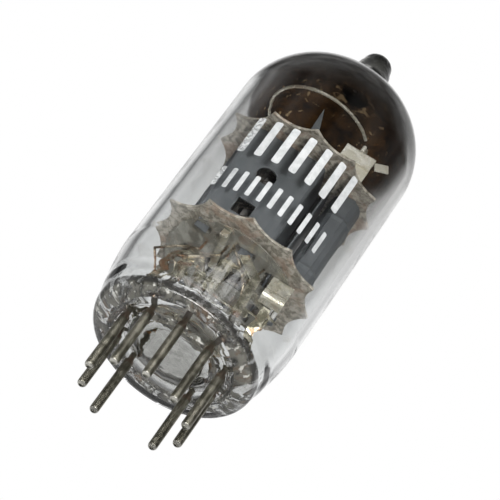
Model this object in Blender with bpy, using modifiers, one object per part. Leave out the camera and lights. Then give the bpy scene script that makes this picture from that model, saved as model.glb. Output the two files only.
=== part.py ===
"""Nine-pin miniature vacuum tube with a pentode and a triode in one glass bulb.

The tube stands on its pins. The origin is the centre of the base's flat underside,
+Z runs up the bulb to the sealed-off exhaust tip, and the gap in the pin circle
faces +Y. Every size is in metres.
"""

import math

import bmesh
import bpy
from mathutils import Matrix, Vector

# Undersides of the two mica spacers, and the room over the upper one to the dome
LOWER_MICA = 0.0132
UPPER_MICA = 0.0273
DOME_ROOM = 0.0067

# Glass bulb
BULB_RADIUS = 0.01045
BULB_WALL = 0.0009
DOME_START = UPPER_MICA + DOME_ROOM
DOME_RISE = 0.0093
FLARE_TOP = 0.0090
FLARE_POWER = 1.6
TIP_HEIGHT = 0.0054
TIP_TOP = DOME_START + DOME_RISE + TIP_HEIGHT
TIP_RADIUS = 0.00175
TIP_ROUNDING = 0.0014
TIP_BARREL = 0.0021
TIP_FILLET_TOP = TIP_TOP - TIP_BARREL
TIP_FILLET_REACH = 0.0048
TIP_WIDENING = 0.00025
TIP_SOLID = 0.0027
TIP_CAVITY_TOP = TIP_TOP - TIP_SOLID
TIP_CAVITY_RADIUS = 0.0009
TIP_MOUTH_RADIUS = 0.0020

# Pressed glass stem that closes the bulb
SEAL_RADIUS = 0.00938
SEAL_HEIGHT = 0.0020
SEAL_GAP = 0.00005
STEM_FACE_RADIUS = 0.0077
STEM_DISC_THICKNESS = 0.0016
STEM_RIDGE_HEIGHT = 0.0034
STEM_RIDGE_WIDTH = 0.0026
STEM_FLANGE_WIDTH = 0.0010

# Pins
PIN_PLACES = 10
PIN_COUNT = 9
PIN_CIRCLE_RADIUS = 0.005945
PIN_RADIUS = 0.000508
PIN_LENGTH = 0.0070
PIN_TIP_ROUNDING = 0.00045
PIN_SHOULDER = 0.0012
PIN_LEAD_RADIUS = 0.00032
PIN_LEAD_TOP = 0.0062
PIN_CLEARANCE = 0.00003

# Room inside the bulb; the electrodes' plan is given in shares of it
INSIDE_RADIUS = BULB_RADIUS - BULB_WALL

# Getter film on the inside of the dome
FILM_SKIRT = 0.0002
FILM_EDGE = DOME_START - FILM_SKIRT
FILM_GAP = 0.00003
FILM_THICKNESS = 0.00005

# Mica spacers
MICA_THICKNESS = 0.0003
MICA_CLEARANCE = 0.00005
MICA_TEETH = 12
SCALLOP_DEPTH = 0.0011
HOLE_CLEARANCE = 0.00003
SEAT_GAP = 0.00005

# Pentode anode, two pressed halves crimped together along their flanges
PENTODE_X = -0.183 * INSIDE_RADIUS
ANODE_FACE_HALF_WIDTH = 0.440 * INSIDE_RADIUS
ANODE_HALF_WIDTH = 0.497 * INSIDE_RADIUS
ANODE_DEPTH = 0.524 * INSIDE_RADIUS
ANODE_CORNER = 0.0006
ANODE_FLANGE = 0.0006
ANODE_SHEET = 0.00015
ANODE_SPLIT = 0.00005
ANODE_TAB_OFFSET = 0.272 * INSIDE_RADIUS
ANODE_TAB_WIDTH = 0.0014
TAB_DROP = 0.0015
TAB_RISE = 0.0010
PEEPHOLE_RADIUS = 0.0011
PEEPHOLE_HEIGHT = 0.0222
WINDOW_WIDTH = 0.0020
WINDOW_LENGTH = 0.0020
WINDOW_HEIGHT = 0.0171
WINDOW_OFFSET = -0.0003

# Triode anode
TRIODE_X = 0.644 * INSIDE_RADIUS
TRIODE_HALF_WIDTH = 0.173 * INSIDE_RADIUS
TRIODE_HALF_DEPTH = 0.293 * INSIDE_RADIUS
TRIODE_SQUARENESS = 2.6
TRIODE_BEAD = 0.00015
TRIODE_BEAD_HEIGHT = 0.0008
TRIODE_TAB_WIDTH = 0.0012

# Cathode sleeves and heaters
SLEEVE_WALL = 0.00008
SLEEVE_REACH = 0.0010
SLEEVE_BOTTOM = LOWER_MICA - SLEEVE_REACH
SLEEVE_TOP = UPPER_MICA + MICA_THICKNESS + SLEEVE_REACH
PENTODE_SLEEVE_HALF_WIDTH = 0.00095
PENTODE_SLEEVE_HALF_DEPTH = 0.00042
TRIODE_SLEEVE_RADIUS = 0.00058
HEATER_REACH = 0.0016
HEATER_DEPTH = 0.0014
HEATER_GAP = 0.00006
HEATER_BOTTOM = SLEEVE_BOTTOM - HEATER_REACH
HEATER_TOP = SLEEVE_TOP - HEATER_DEPTH

# Grids
GRID_REACH = 0.0011
GRID_BOTTOM = LOWER_MICA - GRID_REACH
GRID_TOP = UPPER_MICA + MICA_THICKNESS + GRID_REACH
GRID_WIRE = 0.00006
CONTROL_SPAN = 0.00155
CONTROL_DEPTH = 0.00072
CONTROL_ROD = 0.00025
CONTROL_TURNS = 7
SCREEN_SPAN = 0.00225
SCREEN_DEPTH = 0.0013
SCREEN_ROD = 0.00030
SCREEN_TURNS = 7
SUPPRESSOR_SPAN = 0.00305
SUPPRESSOR_DEPTH = 0.0024
SUPPRESSOR_ROD = 0.00035
SUPPRESSOR_TURNS = 6
TRIODE_GRID_SPAN = 0.00145
TRIODE_GRID_DEPTH = 0.00095
TRIODE_GRID_ROD = 0.00025
TRIODE_GRID_TURNS = 7

# Screen plate between the pentode and the triode
DIVIDER_X = 0.4136 * INSIDE_RADIUS
DIVIDER_HALF_DEPTH = 0.482 * INSIDE_RADIUS
DIVIDER_SHEET = 0.00015
DIVIDER_TAB_OFFSET = 0.314 * INSIDE_RADIUS
DIVIDER_TAB_WIDTH = 0.0016

# Shield disc under the lower mica
SHIELD_RADIUS = 0.775 * INSIDE_RADIUS
SHIELD_SHEET = 0.00015
SHIELD_DROP = 0.0007
SHIELD_CLEARANCE = 0.00035
SHIELD_CUT_X = 0.4555 * INSIDE_RADIUS
SHIELD_CUT_HALF = 0.3665 * INSIDE_RADIUS

# Getter ring and its strap
GETTER_RADIUS = 0.628 * INSIDE_RADIUS
GETTER_X = -0.141 * INSIDE_RADIUS
GETTER_Y = 0.065 * INSIDE_RADIUS
GETTER_RISE = 0.0016
GETTER_WIRE = 0.00019
GETTER_OPENING = 14.0
GETTER_START = -22.0
GETTER_HEIGHT = DOME_START + GETTER_RISE

# Nickel box that carries the getter ring, and the pointed lug on the pentode's front
BOX_X = 0.471 * INSIDE_RADIUS
BOX_Y = -0.524 * INSIDE_RADIUS
BOX_WIDTH = 0.356 * INSIDE_RADIUS
BOX_BASE = 0.0021
BOX_HEIGHT = 0.0015
BOX_DEPTH = 0.0011
BOX_BULGE = 0.0004
BOX_TAB_REACH = (0.0012, 0.0006, 0.0011)
BOX_TAB_WIDTH = (-0.0004, 0.0, 0.0009)
LUG_X = -0.0002
LUG_WIDTH = 0.0018
LUG_HEIGHT = 0.0062
LUG_LEAN = -0.0011

# Leads from the pins to the electrodes
LEAD_WIRE = 0.00022
LEAD_GAP = 0.00010
STRAP_SHEET = 0.00012
RIBBON_LAP = 0.0011
ANODE_RIBBON = (0.00095, 0.0, 0.00055)
HEATER_RIBBON_A = (0.0012, 0.0, 0.0)
HEATER_RIBBON_B = (0.0014, 0.0002, 0.0)
SCREEN_RIBBON = (0.00085, -0.0007, 0.0)
CATHODE_RIBBON = (0.0008, 0.0, 0.0)
SHIELD_STRAP = (0.25 * INSIDE_RADIUS, 0.0, 0.0)
SHIELD_STRAP_REACH = 0.235 * INSIDE_RADIUS
SHIELD_RIBBON = (0.0009, 0.0, 0.0)
LEAD_RISE = 0.0026
LEAD_SWING = 0.0017
RIBBON_RISE = 0.0031

# Faces round the turned pieces
GLASS_STEPS = 36
PIN_STEPS = 12

CLEAR_GLASS = (0.86, 0.88, 0.87)
DARK_CARBON = (0.055, 0.058, 0.060)
NICKEL = (0.56, 0.54, 0.50)
DULL_NICKEL = (0.23, 0.22, 0.19)
MICA_BROWN = (0.47, 0.43, 0.36)
FILM_BROWN = (0.030, 0.022, 0.016)
OXIDE_WHITE = (0.82, 0.80, 0.76)


def clear_scene():
    """Remove whatever the open file holds."""
    for item in list(bpy.data.objects):
        bpy.data.objects.remove(item, do_unlink=True)
    for group in list(bpy.data.collections):
        bpy.data.collections.remove(group)


def new_collection(name):
    group = bpy.data.collections.new(name)
    bpy.context.scene.collection.children.link(group)
    return group


def finish(name, colour, roughness, metallic, alpha=1.0):
    """One plain surface material."""
    surface = bpy.data.materials.new(name + "_finish")
    surface.use_nodes = True
    shader = surface.node_tree.nodes["Principled BSDF"]
    shader.inputs["Base Color"].default_value = (*colour, 1.0)
    shader.inputs["Roughness"].default_value = roughness
    shader.inputs["Metallic"].default_value = metallic
    shader.inputs["Alpha"].default_value = alpha
    return surface


class Kit:
    """The two collections that the shapes go into."""

    def __init__(self):
        self.parts = new_collection("vacuum_tube")
        self.cutters = new_collection("cutters")

    def add(self, name, data, surface):
        item = bpy.data.objects.new(name, data)
        self.parts.objects.link(item)
        data.materials.append(surface)
        return item

    def add_cutter(self, name, data):
        item = bpy.data.objects.new(name, data)
        self.cutters.objects.link(item)
        item.hide_render = True
        item.display_type = "WIRE"
        return item


def arc(centre, radii, start, end, pieces):
    """Points (r, z) along an elliptical arc, angles in degrees."""
    points = []
    for index in range(pieces + 1):
        angle = math.radians(start + (end - start) * index / pieces)
        points.append((centre[0] + radii[0] * math.cos(angle), centre[1] + radii[1] * math.sin(angle)))
    return points


def bend(first, control, last, pieces):
    """Points along a quadratic curve, without its first point."""
    points = []
    for index in range(1, pieces + 1):
        t = index / pieces
        a, b, c = (1 - t) ** 2, 2 * t * (1 - t), t ** 2
        points.append(tuple(a * p + b * q + c * r for p, q, r in zip(first, control, last)))
    return points


def smooth_path(points, pieces):
    """A curve through the given points, with that many pieces between each two."""
    ends = [Vector(p) for p in points]
    ends = [2 * ends[0] - ends[1]] + ends + [2 * ends[-1] - ends[-2]]
    path = []
    for a, b, c, d in zip(ends, ends[1:], ends[2:], ends[3:]):
        for index in range(pieces):
            t = index / pieces
            path.append(0.5 * (2 * b + (c - a) * t + (2 * a - 5 * b + 4 * c - d) * t ** 2
                               + (3 * b - a - 3 * c + d) * t ** 3))
    path.append(ends[-2])
    return path


def profile_mesh(name, profile, closed):
    """The edges of a profile in the XZ plane."""
    mesh = bpy.data.meshes.new(name)
    vertices = [(r, 0.0, z) for r, z in profile]
    edges = [(i, i + 1) for i in range(len(vertices) - 1)]
    if closed:
        edges.append((len(vertices) - 1, 0))
    mesh.from_pydata(vertices, edges, [])
    return mesh


def turn(item, steps):
    """Revolve an object's profile about its Z axis."""
    screw = item.modifiers.new("turn", "SCREW")
    screw.axis = "Z"
    screw.steps = steps
    screw.render_steps = steps
    screw.use_merge_vertices = True
    screw.merge_threshold = 1e-6
    screw.use_smooth_shade = True


def spline_from(curve, points, closed):
    spline = curve.splines.new("POLY")
    spline.points.add(len(points) - 1)
    for place, point in zip(spline.points, points):
        place.co = (*point, 0.0, 1.0) if len(point) == 2 else (*point, 1.0)
    spline.use_cyclic_u = closed


def flat_curve(name, outlines, thickness):
    """A flat sheet: the first outline is its edge and the others are its holes."""
    curve = bpy.data.curves.new(name, "CURVE")
    curve.dimensions = "2D"
    curve.fill_mode = "BOTH"
    curve.extrude = thickness / 2
    for outline in outlines:
        spline_from(curve, outline, True)
    return curve


def wire_curve(name, points, radius, closed=False, resolution=2):
    curve = bpy.data.curves.new(name, "CURVE")
    curve.dimensions = "3D"
    curve.bevel_depth = radius
    curve.bevel_resolution = resolution
    curve.use_fill_caps = True
    spline_from(curve, [tuple(p) for p in points], closed)
    return curve


def ring_points(centre, half_width, half_depth, count, squareness=2.0):
    """An oval outline, squarer as squareness goes above two."""
    points = []
    for index in range(count):
        angle = 2 * math.pi * index / count
        c, s = math.cos(angle), math.sin(angle)
        x = math.copysign(abs(c) ** (2 / squareness), c)
        y = math.copysign(abs(s) ** (2 / squareness), s)
        points.append((centre[0] + half_width * x, centre[1] + half_depth * y))
    return points


def slot_points(centre, width, depth):
    """A rectangular outline."""
    x, y = width / 2, depth / 2
    corners = [(-x, -y), (x, -y), (x, y), (-x, y)]
    return [(centre[0] + a, centre[1] + b) for a, b in corners]


def mesh_from_curve(curve):
    """The welded mesh of a curve."""
    item = bpy.data.objects.new(curve.name, curve)
    bpy.context.scene.collection.objects.link(item)
    bpy.context.view_layer.update()
    evaluated = item.evaluated_get(bpy.context.evaluated_depsgraph_get())
    mesh = bpy.data.meshes.new_from_object(evaluated)
    form = bmesh.new()
    form.from_mesh(mesh)
    bmesh.ops.remove_doubles(form, verts=form.verts, dist=1e-6)
    form.to_mesh(mesh)
    form.free()
    bpy.data.objects.remove(item, do_unlink=True)
    return mesh


def smooth(mesh):
    mesh.shade_smooth()
    mesh.set_sharp_from_angle(angle=math.radians(35))


def box_mesh(name, size, centre):
    form = bmesh.new()
    bmesh.ops.create_cube(form, size=1.0)
    bmesh.ops.scale(form, vec=size, verts=form.verts)
    bmesh.ops.translate(form, vec=centre, verts=form.verts)
    mesh = bpy.data.meshes.new(name)
    form.to_mesh(mesh)
    form.free()
    return mesh


def rod_mesh(name, radius, centre, bottom, top, sides, turned=None):
    """A plain round rod, upright unless a turning matrix is given."""
    form = bmesh.new()
    bmesh.ops.create_cone(form, cap_ends=True, segments=sides, radius1=radius, radius2=radius,
                          depth=top - bottom)
    if turned is not None:
        bmesh.ops.transform(form, matrix=turned, verts=form.verts)
        bmesh.ops.translate(form, vec=centre, verts=form.verts)
    else:
        bmesh.ops.translate(form, vec=(centre[0], centre[1], (bottom + top) / 2), verts=form.verts)
    mesh = bpy.data.meshes.new(name)
    form.to_mesh(mesh)
    form.free()
    return mesh


def cut(item, tool, operation="DIFFERENCE"):
    boolean = item.modifiers.new(tool.name, "BOOLEAN")
    boolean.operation = operation
    boolean.solver = "EXACT"
    boolean.object = tool


def thicken(item, thickness):
    sheet = item.modifiers.new("sheet", "SOLIDIFY")
    sheet.thickness = thickness
    sheet.offset = 0.0
    sheet.use_even_offset = True


def pin_centre(number):
    """Where a pin stands, counted round from the gap in the circle."""
    angle = math.pi / 2 + 2 * math.pi * number / PIN_PLACES
    return (PIN_CIRCLE_RADIUS * math.cos(angle), PIN_CIRCLE_RADIUS * math.sin(angle))


def flare_radius(height, radius):
    """Radius of the bulb where it draws in towards the seal."""
    share = (FLARE_TOP - height) / (FLARE_TOP - SEAL_HEIGHT)
    return radius - (BULB_RADIUS - SEAL_RADIUS) * max(share, 0.0) ** FLARE_POWER


def dome_height(radius, outer_radius, rise):
    return DOME_START + rise * math.sqrt(1 - (radius / outer_radius) ** 2)


def bulb_outside():
    """Outer profile of the bulb from the top of its tip down to the seal."""
    end = arc((TIP_RADIUS - TIP_ROUNDING, TIP_TOP - TIP_ROUNDING), (TIP_ROUNDING, TIP_ROUNDING), 90, 0, 3)
    root = (TIP_RADIUS + TIP_WIDENING, TIP_FILLET_TOP)
    foot = (TIP_FILLET_REACH, dome_height(TIP_FILLET_REACH, BULB_RADIUS, DOME_RISE))
    share = TIP_FILLET_REACH / BULB_RADIUS
    slope = DOME_RISE / BULB_RADIUS * share / math.sqrt(1 - share ** 2)
    knee = TIP_RADIUS + 3 * TIP_WIDENING
    corner = (knee, foot[1] + slope * (TIP_FILLET_REACH - knee))
    start = math.degrees(math.acos(share))
    dome = arc((0.0, DOME_START), (BULB_RADIUS, DOME_RISE), start, 0, 6)[1:]
    flare = []
    for index in range(6):
        height = FLARE_TOP + (SEAL_HEIGHT - FLARE_TOP) * index / 5
        flare.append((flare_radius(height, BULB_RADIUS), height))
    return [(0.0, TIP_TOP)] + end + [root] + bend(root, corner, foot, 4) + dome + flare


def dome_inside(gap):
    """The inside of the dome from its foot up to the mouth of the tip, drawn in by a gap."""
    radius, rise = INSIDE_RADIUS, DOME_RISE - BULB_WALL
    mouth = math.degrees(math.acos(TIP_MOUTH_RADIUS / radius))
    return arc((0.0, DOME_START), (radius - gap, rise - gap), 0, mouth, 6)


def bulb_inside():
    """Inner profile of the bulb from the seal up to the cavity in its tip."""
    radius = INSIDE_RADIUS
    flare = []
    for index in range(5):
        height = SEAL_HEIGHT + (FLARE_TOP - SEAL_HEIGHT) * index / 4
        flare.append((flare_radius(height, radius), height))
    dome = dome_inside(0.0)
    throat = (TIP_CAVITY_RADIUS, TIP_CAVITY_TOP - 2 * TIP_CAVITY_RADIUS)
    neck = bend(dome[-1], (TIP_CAVITY_RADIUS, dome[-1][1]), throat, 2)
    return flare + dome + neck + [(0.0, TIP_CAVITY_TOP)]


def make_bulb(kit):
    glass = finish("bulb", CLEAR_GLASS, 0.02, 0.0, 0.3)
    profile = bulb_outside() + bulb_inside()
    item = kit.add("bulb", profile_mesh("bulb", profile, False), glass)
    turn(item, GLASS_STEPS)


def pin_profile(grown):
    """Profile of a pin and its inner lead, or of the hole round them when grown."""
    lead, pin = PIN_LEAD_RADIUS + grown, PIN_RADIUS + grown
    tip = arc((pin - PIN_TIP_ROUNDING, PIN_TIP_ROUNDING - PIN_LENGTH),
              (PIN_TIP_ROUNDING, PIN_TIP_ROUNDING), 0, -90, 3)
    shoulder = PIN_SHOULDER + grown
    top = [(0.0, PIN_LEAD_TOP), (lead, PIN_LEAD_TOP), (lead, shoulder), (pin, shoulder)]
    return top + tip + [(0.0, -PIN_LENGTH)]


def make_pins(kit):
    metal = finish("pin", DULL_NICKEL, 0.45, 0.9)
    mesh = profile_mesh("pin", pin_profile(0.0), False)
    hole = profile_mesh("pin_hole", pin_profile(PIN_CLEARANCE), False)
    mesh.materials.append(metal)
    holes = []
    for number in range(1, PIN_COUNT + 1):
        x, y = pin_centre(number)
        item = bpy.data.objects.new("pin_%d" % number, mesh)
        kit.parts.objects.link(item)
        item.location = (x, y, 0.0)
        turn(item, PIN_STEPS)
        tool = kit.add_cutter("pin_hole_%d" % number, hole)
        tool.location = (x, y, 0.0)
        turn(tool, PIN_STEPS)
        holes.append(tool)
    return holes


def stem_profile():
    """Top centre of the pressed stem, over the ridge round the pins and down its rim."""
    middle, half = PIN_CIRCLE_RADIUS, STEM_RIDGE_WIDTH / 2
    disc, ridge = STEM_DISC_THICKNESS, STEM_RIDGE_HEIGHT
    top = SEAL_HEIGHT - SEAL_GAP
    rim = flare_radius(SEAL_HEIGHT, BULB_RADIUS)
    flange = rim - STEM_FLANGE_WIDTH
    inner_foot, outer_foot = (middle - half, disc), (middle + half, disc)
    crest = (middle, ridge)
    rise = bend(inner_foot, (middle - half / 2, ridge), crest, 3)
    fall = bend(crest, (middle + half / 2, ridge), outer_foot, 3)
    edge = arc((STEM_FACE_RADIUS, top), (rim - STEM_FACE_RADIUS, top), 0, -90, 5)
    return [(0.0, disc), inner_foot] + rise + fall + [(flange, disc), (flange, top)] + edge + [(0.0, 0.0)]


def make_stem(kit, holes):
    glass = finish("stem", CLEAR_GLASS, 0.04, 0.0, 0.4)
    item = kit.add("stem_button", profile_mesh("stem_button", stem_profile(), False), glass)
    turn(item, GLASS_STEPS)
    for tool in holes:
        cut(item, tool)


def make_film(kit):
    """The getter's dark mirror on the inside of the dome."""
    dark = finish("getter_film", FILM_BROWN, 0.15, 0.6)
    layers = []
    for gap in (FILM_GAP, FILM_GAP + FILM_THICKNESS):
        layers.append([(INSIDE_RADIUS - gap, FILM_EDGE)] + dome_inside(gap))
    profile = list(reversed(layers[0])) + layers[1]
    item = kit.add("getter_film", profile_mesh("getter_film", profile, True), dark)
    turn(item, GLASS_STEPS)


def pentode_rods():
    """Side rods of the pentode's three grids as (span, radius)."""
    return [(CONTROL_SPAN, CONTROL_ROD), (SCREEN_SPAN, SCREEN_ROD), (SUPPRESSOR_SPAN, SUPPRESSOR_ROD)]


def tab_places():
    """Every sheet tab that passes through the micas: centre, width and depth."""
    places = []
    for side in (-1, 1):
        for end in (-1, 1):
            centre = (PENTODE_X + end * ANODE_TAB_OFFSET, side * ANODE_DEPTH)
            places.append((centre, ANODE_TAB_WIDTH, ANODE_SHEET))
        places.append(((TRIODE_X, side * TRIODE_HALF_DEPTH), TRIODE_TAB_WIDTH, ANODE_SHEET))
        places.append(((DIVIDER_X, side * DIVIDER_TAB_OFFSET), DIVIDER_SHEET, DIVIDER_TAB_WIDTH))
    return places


def mica_outline():
    """A disc whose pointed teeth bear on the glass, with scallops between them."""
    reach = INSIDE_RADIUS - MICA_CLEARANCE
    steps = 6
    points = []
    for index in range(MICA_TEETH * steps):
        angle = 2 * math.pi * index / (MICA_TEETH * steps)
        dip = math.sin(math.pi * (index % steps) / steps) ** 0.7
        radius = reach - SCALLOP_DEPTH * dip
        points.append((radius * math.cos(angle), radius * math.sin(angle)))
    return points


def mica_holes():
    """Holes for the rods and sleeves, and slots for the tabs."""
    fit = HOLE_CLEARANCE
    holes = []
    for span, radius in pentode_rods():
        for side in (-1, 1):
            holes.append(ring_points((PENTODE_X + side * span, 0.0), radius + fit, radius + fit, 10))
    for side in (-1, 1):
        radius = TRIODE_GRID_ROD + fit
        holes.append(ring_points((TRIODE_X, side * TRIODE_GRID_SPAN), radius, radius, 10))
    oval = (PENTODE_SLEEVE_HALF_WIDTH + fit, PENTODE_SLEEVE_HALF_DEPTH + fit)
    holes.append(ring_points((PENTODE_X, 0.0), *oval, 16))
    holes.append(ring_points((TRIODE_X, 0.0), TRIODE_SLEEVE_RADIUS + fit, TRIODE_SLEEVE_RADIUS + fit, 16))
    for centre, width, depth in tab_places():
        holes.append(slot_points(centre, width + 4 * fit, depth + 4 * fit))
    return holes


def make_micas(kit):
    sheet = finish("mica", MICA_BROWN, 0.35, 0.0, 0.85)
    outlines = [mica_outline()] + mica_holes()
    for name, height in (("lower_mica", LOWER_MICA), ("upper_mica", UPPER_MICA)):
        item = kit.add(name, flat_curve(name, outlines, MICA_THICKNESS), sheet)
        item.location = (0.0, 0.0, height + MICA_THICKNESS / 2)


def sheet_bottom():
    return LOWER_MICA + MICA_THICKNESS + SEAT_GAP


def sheet_top():
    return UPPER_MICA - SEAT_GAP


def formed_sheet(name, outline, closed, beads, tabs):
    """A wall that follows an outline from mica to mica, with beads and end tabs.

    beads lists (height, swelling) levels between the ends. tabs lists the centres of
    the outline's edges that run on through the micas.
    """
    bottom, top = sheet_bottom(), sheet_top()
    levels = [(bottom, 0.0)] + beads + [(top, 0.0)]
    centre = Vector((sum(p[0] for p in outline), sum(p[1] for p in outline), 0.0)) / len(outline)
    form = bmesh.new()
    verts = [form.verts.new((x, y, bottom)) for x, y in outline]
    count = len(verts) if closed else len(verts) - 1
    first = [form.edges.new((verts[i], verts[(i + 1) % len(verts)])) for i in range(count)]
    edges = first
    swelling = 0.0
    for (low, _), (high, swell) in zip(levels, levels[1:]):
        made = bmesh.ops.extrude_edge_only(form, edges=edges)["geom"]
        moved = [g for g in made if isinstance(g, bmesh.types.BMVert)]
        for vert in moved:
            flat = Vector((vert.co.x - centre.x, vert.co.y - centre.y, 0.0))
            vert.co += flat.normalized() * (swell - swelling) + Vector((0.0, 0.0, high - low))
        edges = [g for g in made if isinstance(g, bmesh.types.BMEdge)]
        swelling = swell
    for ring, shift in ((first, -TAB_DROP), (edges, MICA_THICKNESS + TAB_RISE)):
        chosen = []
        for edge in ring:
            middle = (edge.verts[0].co + edge.verts[1].co) / 2
            if any(math.hypot(middle.x - x, middle.y - y) < ANODE_SHEET for x, y in tabs):
                chosen.append(edge)
        made = bmesh.ops.extrude_edge_only(form, edges=chosen)["geom"]
        moved = [g for g in made if isinstance(g, bmesh.types.BMVert)]
        bmesh.ops.translate(form, vec=(0.0, 0.0, shift), verts=moved)
    bmesh.ops.recalc_face_normals(form, faces=form.faces)
    mesh = bpy.data.meshes.new(name)
    form.to_mesh(mesh)
    form.free()
    smooth(mesh)
    return mesh


def anode_half_outline(side):
    """Flange, sloped side, rounded corner and flat face of one half of the pentode anode."""
    depth, corner, split = ANODE_DEPTH, ANODE_CORNER, ANODE_SPLIT + ANODE_SHEET / 2
    root = (ANODE_HALF_WIDTH, split)
    flange = (ANODE_HALF_WIDTH + ANODE_FLANGE, split)
    shoulder = (ANODE_FACE_HALF_WIDTH, depth - corner)
    face = (ANODE_FACE_HALF_WIDTH - corner, depth)
    right = [flange, root, shoulder]
    right += bend(shoulder, (ANODE_FACE_HALF_WIDTH, depth), face, 3)
    right += [(ANODE_TAB_OFFSET + s * ANODE_TAB_WIDTH / 2, depth) for s in (1, -1)]
    left = [(-x, y) for x, y in reversed(right)]
    return [(PENTODE_X + x, side * y) for x, y in right + left]


def make_pentode_anode(kit):
    carbon = finish("pentode_anode", DARK_CARBON, 0.55, 0.3)
    middle = PENTODE_X + WINDOW_OFFSET
    wall = 4 * ANODE_CORNER
    turned = Matrix.Rotation(math.pi / 2, 4, "X")
    for name, side in (("pentode_anode_front", -1), ("pentode_anode_rear", 1)):
        tabs = [(PENTODE_X + end * ANODE_TAB_OFFSET, side * ANODE_DEPTH) for end in (-1, 1)]
        item = kit.add(name, formed_sheet(name, anode_half_outline(side), False, [], tabs), carbon)
        thicken(item, ANODE_SHEET)
        y = side * ANODE_DEPTH
        peephole = rod_mesh(name + "_peephole", PEEPHOLE_RADIUS, (middle, y, PEEPHOLE_HEIGHT),
                            0.0, wall, 24, turned)
        cut(item, kit.add_cutter(name + "_peephole", peephole))
        window = box_mesh(name + "_window", (WINDOW_WIDTH, wall, WINDOW_LENGTH), (middle, y, WINDOW_HEIGHT))
        cut(item, kit.add_cutter(name + "_window", window))


def triode_outline():
    """An oval with a flat at each end for the tabs."""
    points = ring_points((TRIODE_X, 0.0), TRIODE_HALF_WIDTH, TRIODE_HALF_DEPTH, 20, TRIODE_SQUARENESS)
    half, depth = TRIODE_TAB_WIDTH / 2, TRIODE_HALF_DEPTH
    kept = [p for p in points if abs(p[0] - TRIODE_X) > half * 1.1]
    kept += [(TRIODE_X + a * half, b * depth) for a in (-1, 1) for b in (-1, 1)]
    return sorted(kept, key=lambda p: math.atan2(p[1], p[0] - TRIODE_X))


def make_triode_anode(kit):
    carbon = finish("triode_anode", DARK_CARBON, 0.6, 0.3)
    length = sheet_top() - sheet_bottom()
    half = TRIODE_BEAD_HEIGHT / 2
    beads = []
    for share in (0.22, 0.78):
        height = sheet_bottom() + share * length
        beads += [(height - half, 0.0), (height, TRIODE_BEAD), (height + half, 0.0)]
    tabs = [(TRIODE_X, side * TRIODE_HALF_DEPTH) for side in (-1, 1)]
    item = kit.add("triode_anode", formed_sheet("triode_anode", triode_outline(), True, beads, tabs), carbon)
    thicken(item, ANODE_SHEET)


def make_sleeve(kit, name, centre, half_width, half_depth):
    """A cathode: an open sleeve that passes through both micas."""
    oxide = finish(name, OXIDE_WHITE, 0.8, 0.0)
    inner = (half_width - SLEEVE_WALL, half_depth - SLEEVE_WALL)
    outlines = [ring_points(centre, half_width, half_depth, 16), ring_points(centre, *inner, 16)]
    item = kit.add(name, flat_curve(name, outlines, SLEEVE_TOP - SLEEVE_BOTTOM), oxide)
    item.location = (0.0, 0.0, (SLEEVE_TOP + SLEEVE_BOTTOM) / 2)


def heater_reach(half_width, half_depth):
    """Wire radius and leg offset of a hairpin that fits in a sleeve."""
    radius = (half_depth - SLEEVE_WALL - HEATER_GAP) / 2
    return radius, (half_width - SLEEVE_WALL) * 0.55


def make_heater(kit, name, centre, half_width, half_depth):
    """A coated hairpin inside a sleeve, with both legs out of its lower end."""
    coat = finish(name, OXIDE_WHITE, 0.9, 0.0)
    radius, offset = heater_reach(half_width, half_depth)
    x, y = centre
    crown = arc((x, HEATER_TOP - offset), (offset, offset), 180, 0, 8)
    bend_points = [(a, y, b) for a, b in crown]
    points = [(x - offset, y, HEATER_BOTTOM)] + bend_points + [(x + offset, y, HEATER_BOTTOM)]
    kit.add(name, wire_curve(name, points, radius, resolution=1), coat)


def make_grid(kit, name, centre, span, depth, rod, turns, along):
    """Two side rods with a winding through them; along is the direction between the rods."""
    metal = finish(name, NICKEL, 0.35, 1.0)
    bottom, top = sheet_bottom() + 3 * rod, sheet_top() - 3 * rod
    steps = 8
    points = []
    for index in range(turns * steps + 1):
        angle = 2 * math.pi * index / steps
        u, v = span * math.cos(angle), depth * math.sin(angle)
        z = bottom + (top - bottom) * index / (turns * steps)
        place = (u, v) if along == "X" else (-v, u)
        points.append((centre[0] + place[0], centre[1] + place[1], z))
    winding = mesh_from_curve(wire_curve(name, points, GRID_WIRE, resolution=0))
    item = kit.add(name, winding, metal)
    for side in (-1, 1):
        place = (side * span, 0.0) if along == "X" else (0.0, side * span)
        middle = (centre[0] + place[0], centre[1] + place[1])
        rod_form = rod_mesh("%s_rod_%d" % (name, side), rod, middle, GRID_BOTTOM, GRID_TOP, 10)
        cut(item, kit.add_cutter("%s_rod_%d" % (name, side), rod_form), "UNION")


def make_systems(kit):
    """Cathodes, heaters and grids of the pentode and the triode."""
    pentode, triode = (PENTODE_X, 0.0), (TRIODE_X, 0.0)
    oval = (PENTODE_SLEEVE_HALF_WIDTH, PENTODE_SLEEVE_HALF_DEPTH)
    tube = (TRIODE_SLEEVE_RADIUS, TRIODE_SLEEVE_RADIUS)
    make_sleeve(kit, "pentode_cathode", pentode, *oval)
    make_sleeve(kit, "triode_cathode", triode, *tube)
    make_heater(kit, "pentode_heater", pentode, *oval)
    make_heater(kit, "triode_heater", triode, *tube)
    make_grid(kit, "control_grid", pentode, CONTROL_SPAN, CONTROL_DEPTH, CONTROL_ROD, CONTROL_TURNS, "X")
    make_grid(kit, "screen_grid", pentode, SCREEN_SPAN, SCREEN_DEPTH, SCREEN_ROD, SCREEN_TURNS, "X")
    make_grid(kit, "suppressor_grid", pentode, SUPPRESSOR_SPAN, SUPPRESSOR_DEPTH, SUPPRESSOR_ROD,
              SUPPRESSOR_TURNS, "X")
    make_grid(kit, "triode_grid", triode, TRIODE_GRID_SPAN, TRIODE_GRID_DEPTH, TRIODE_GRID_ROD,
              TRIODE_GRID_TURNS, "Y")


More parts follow.
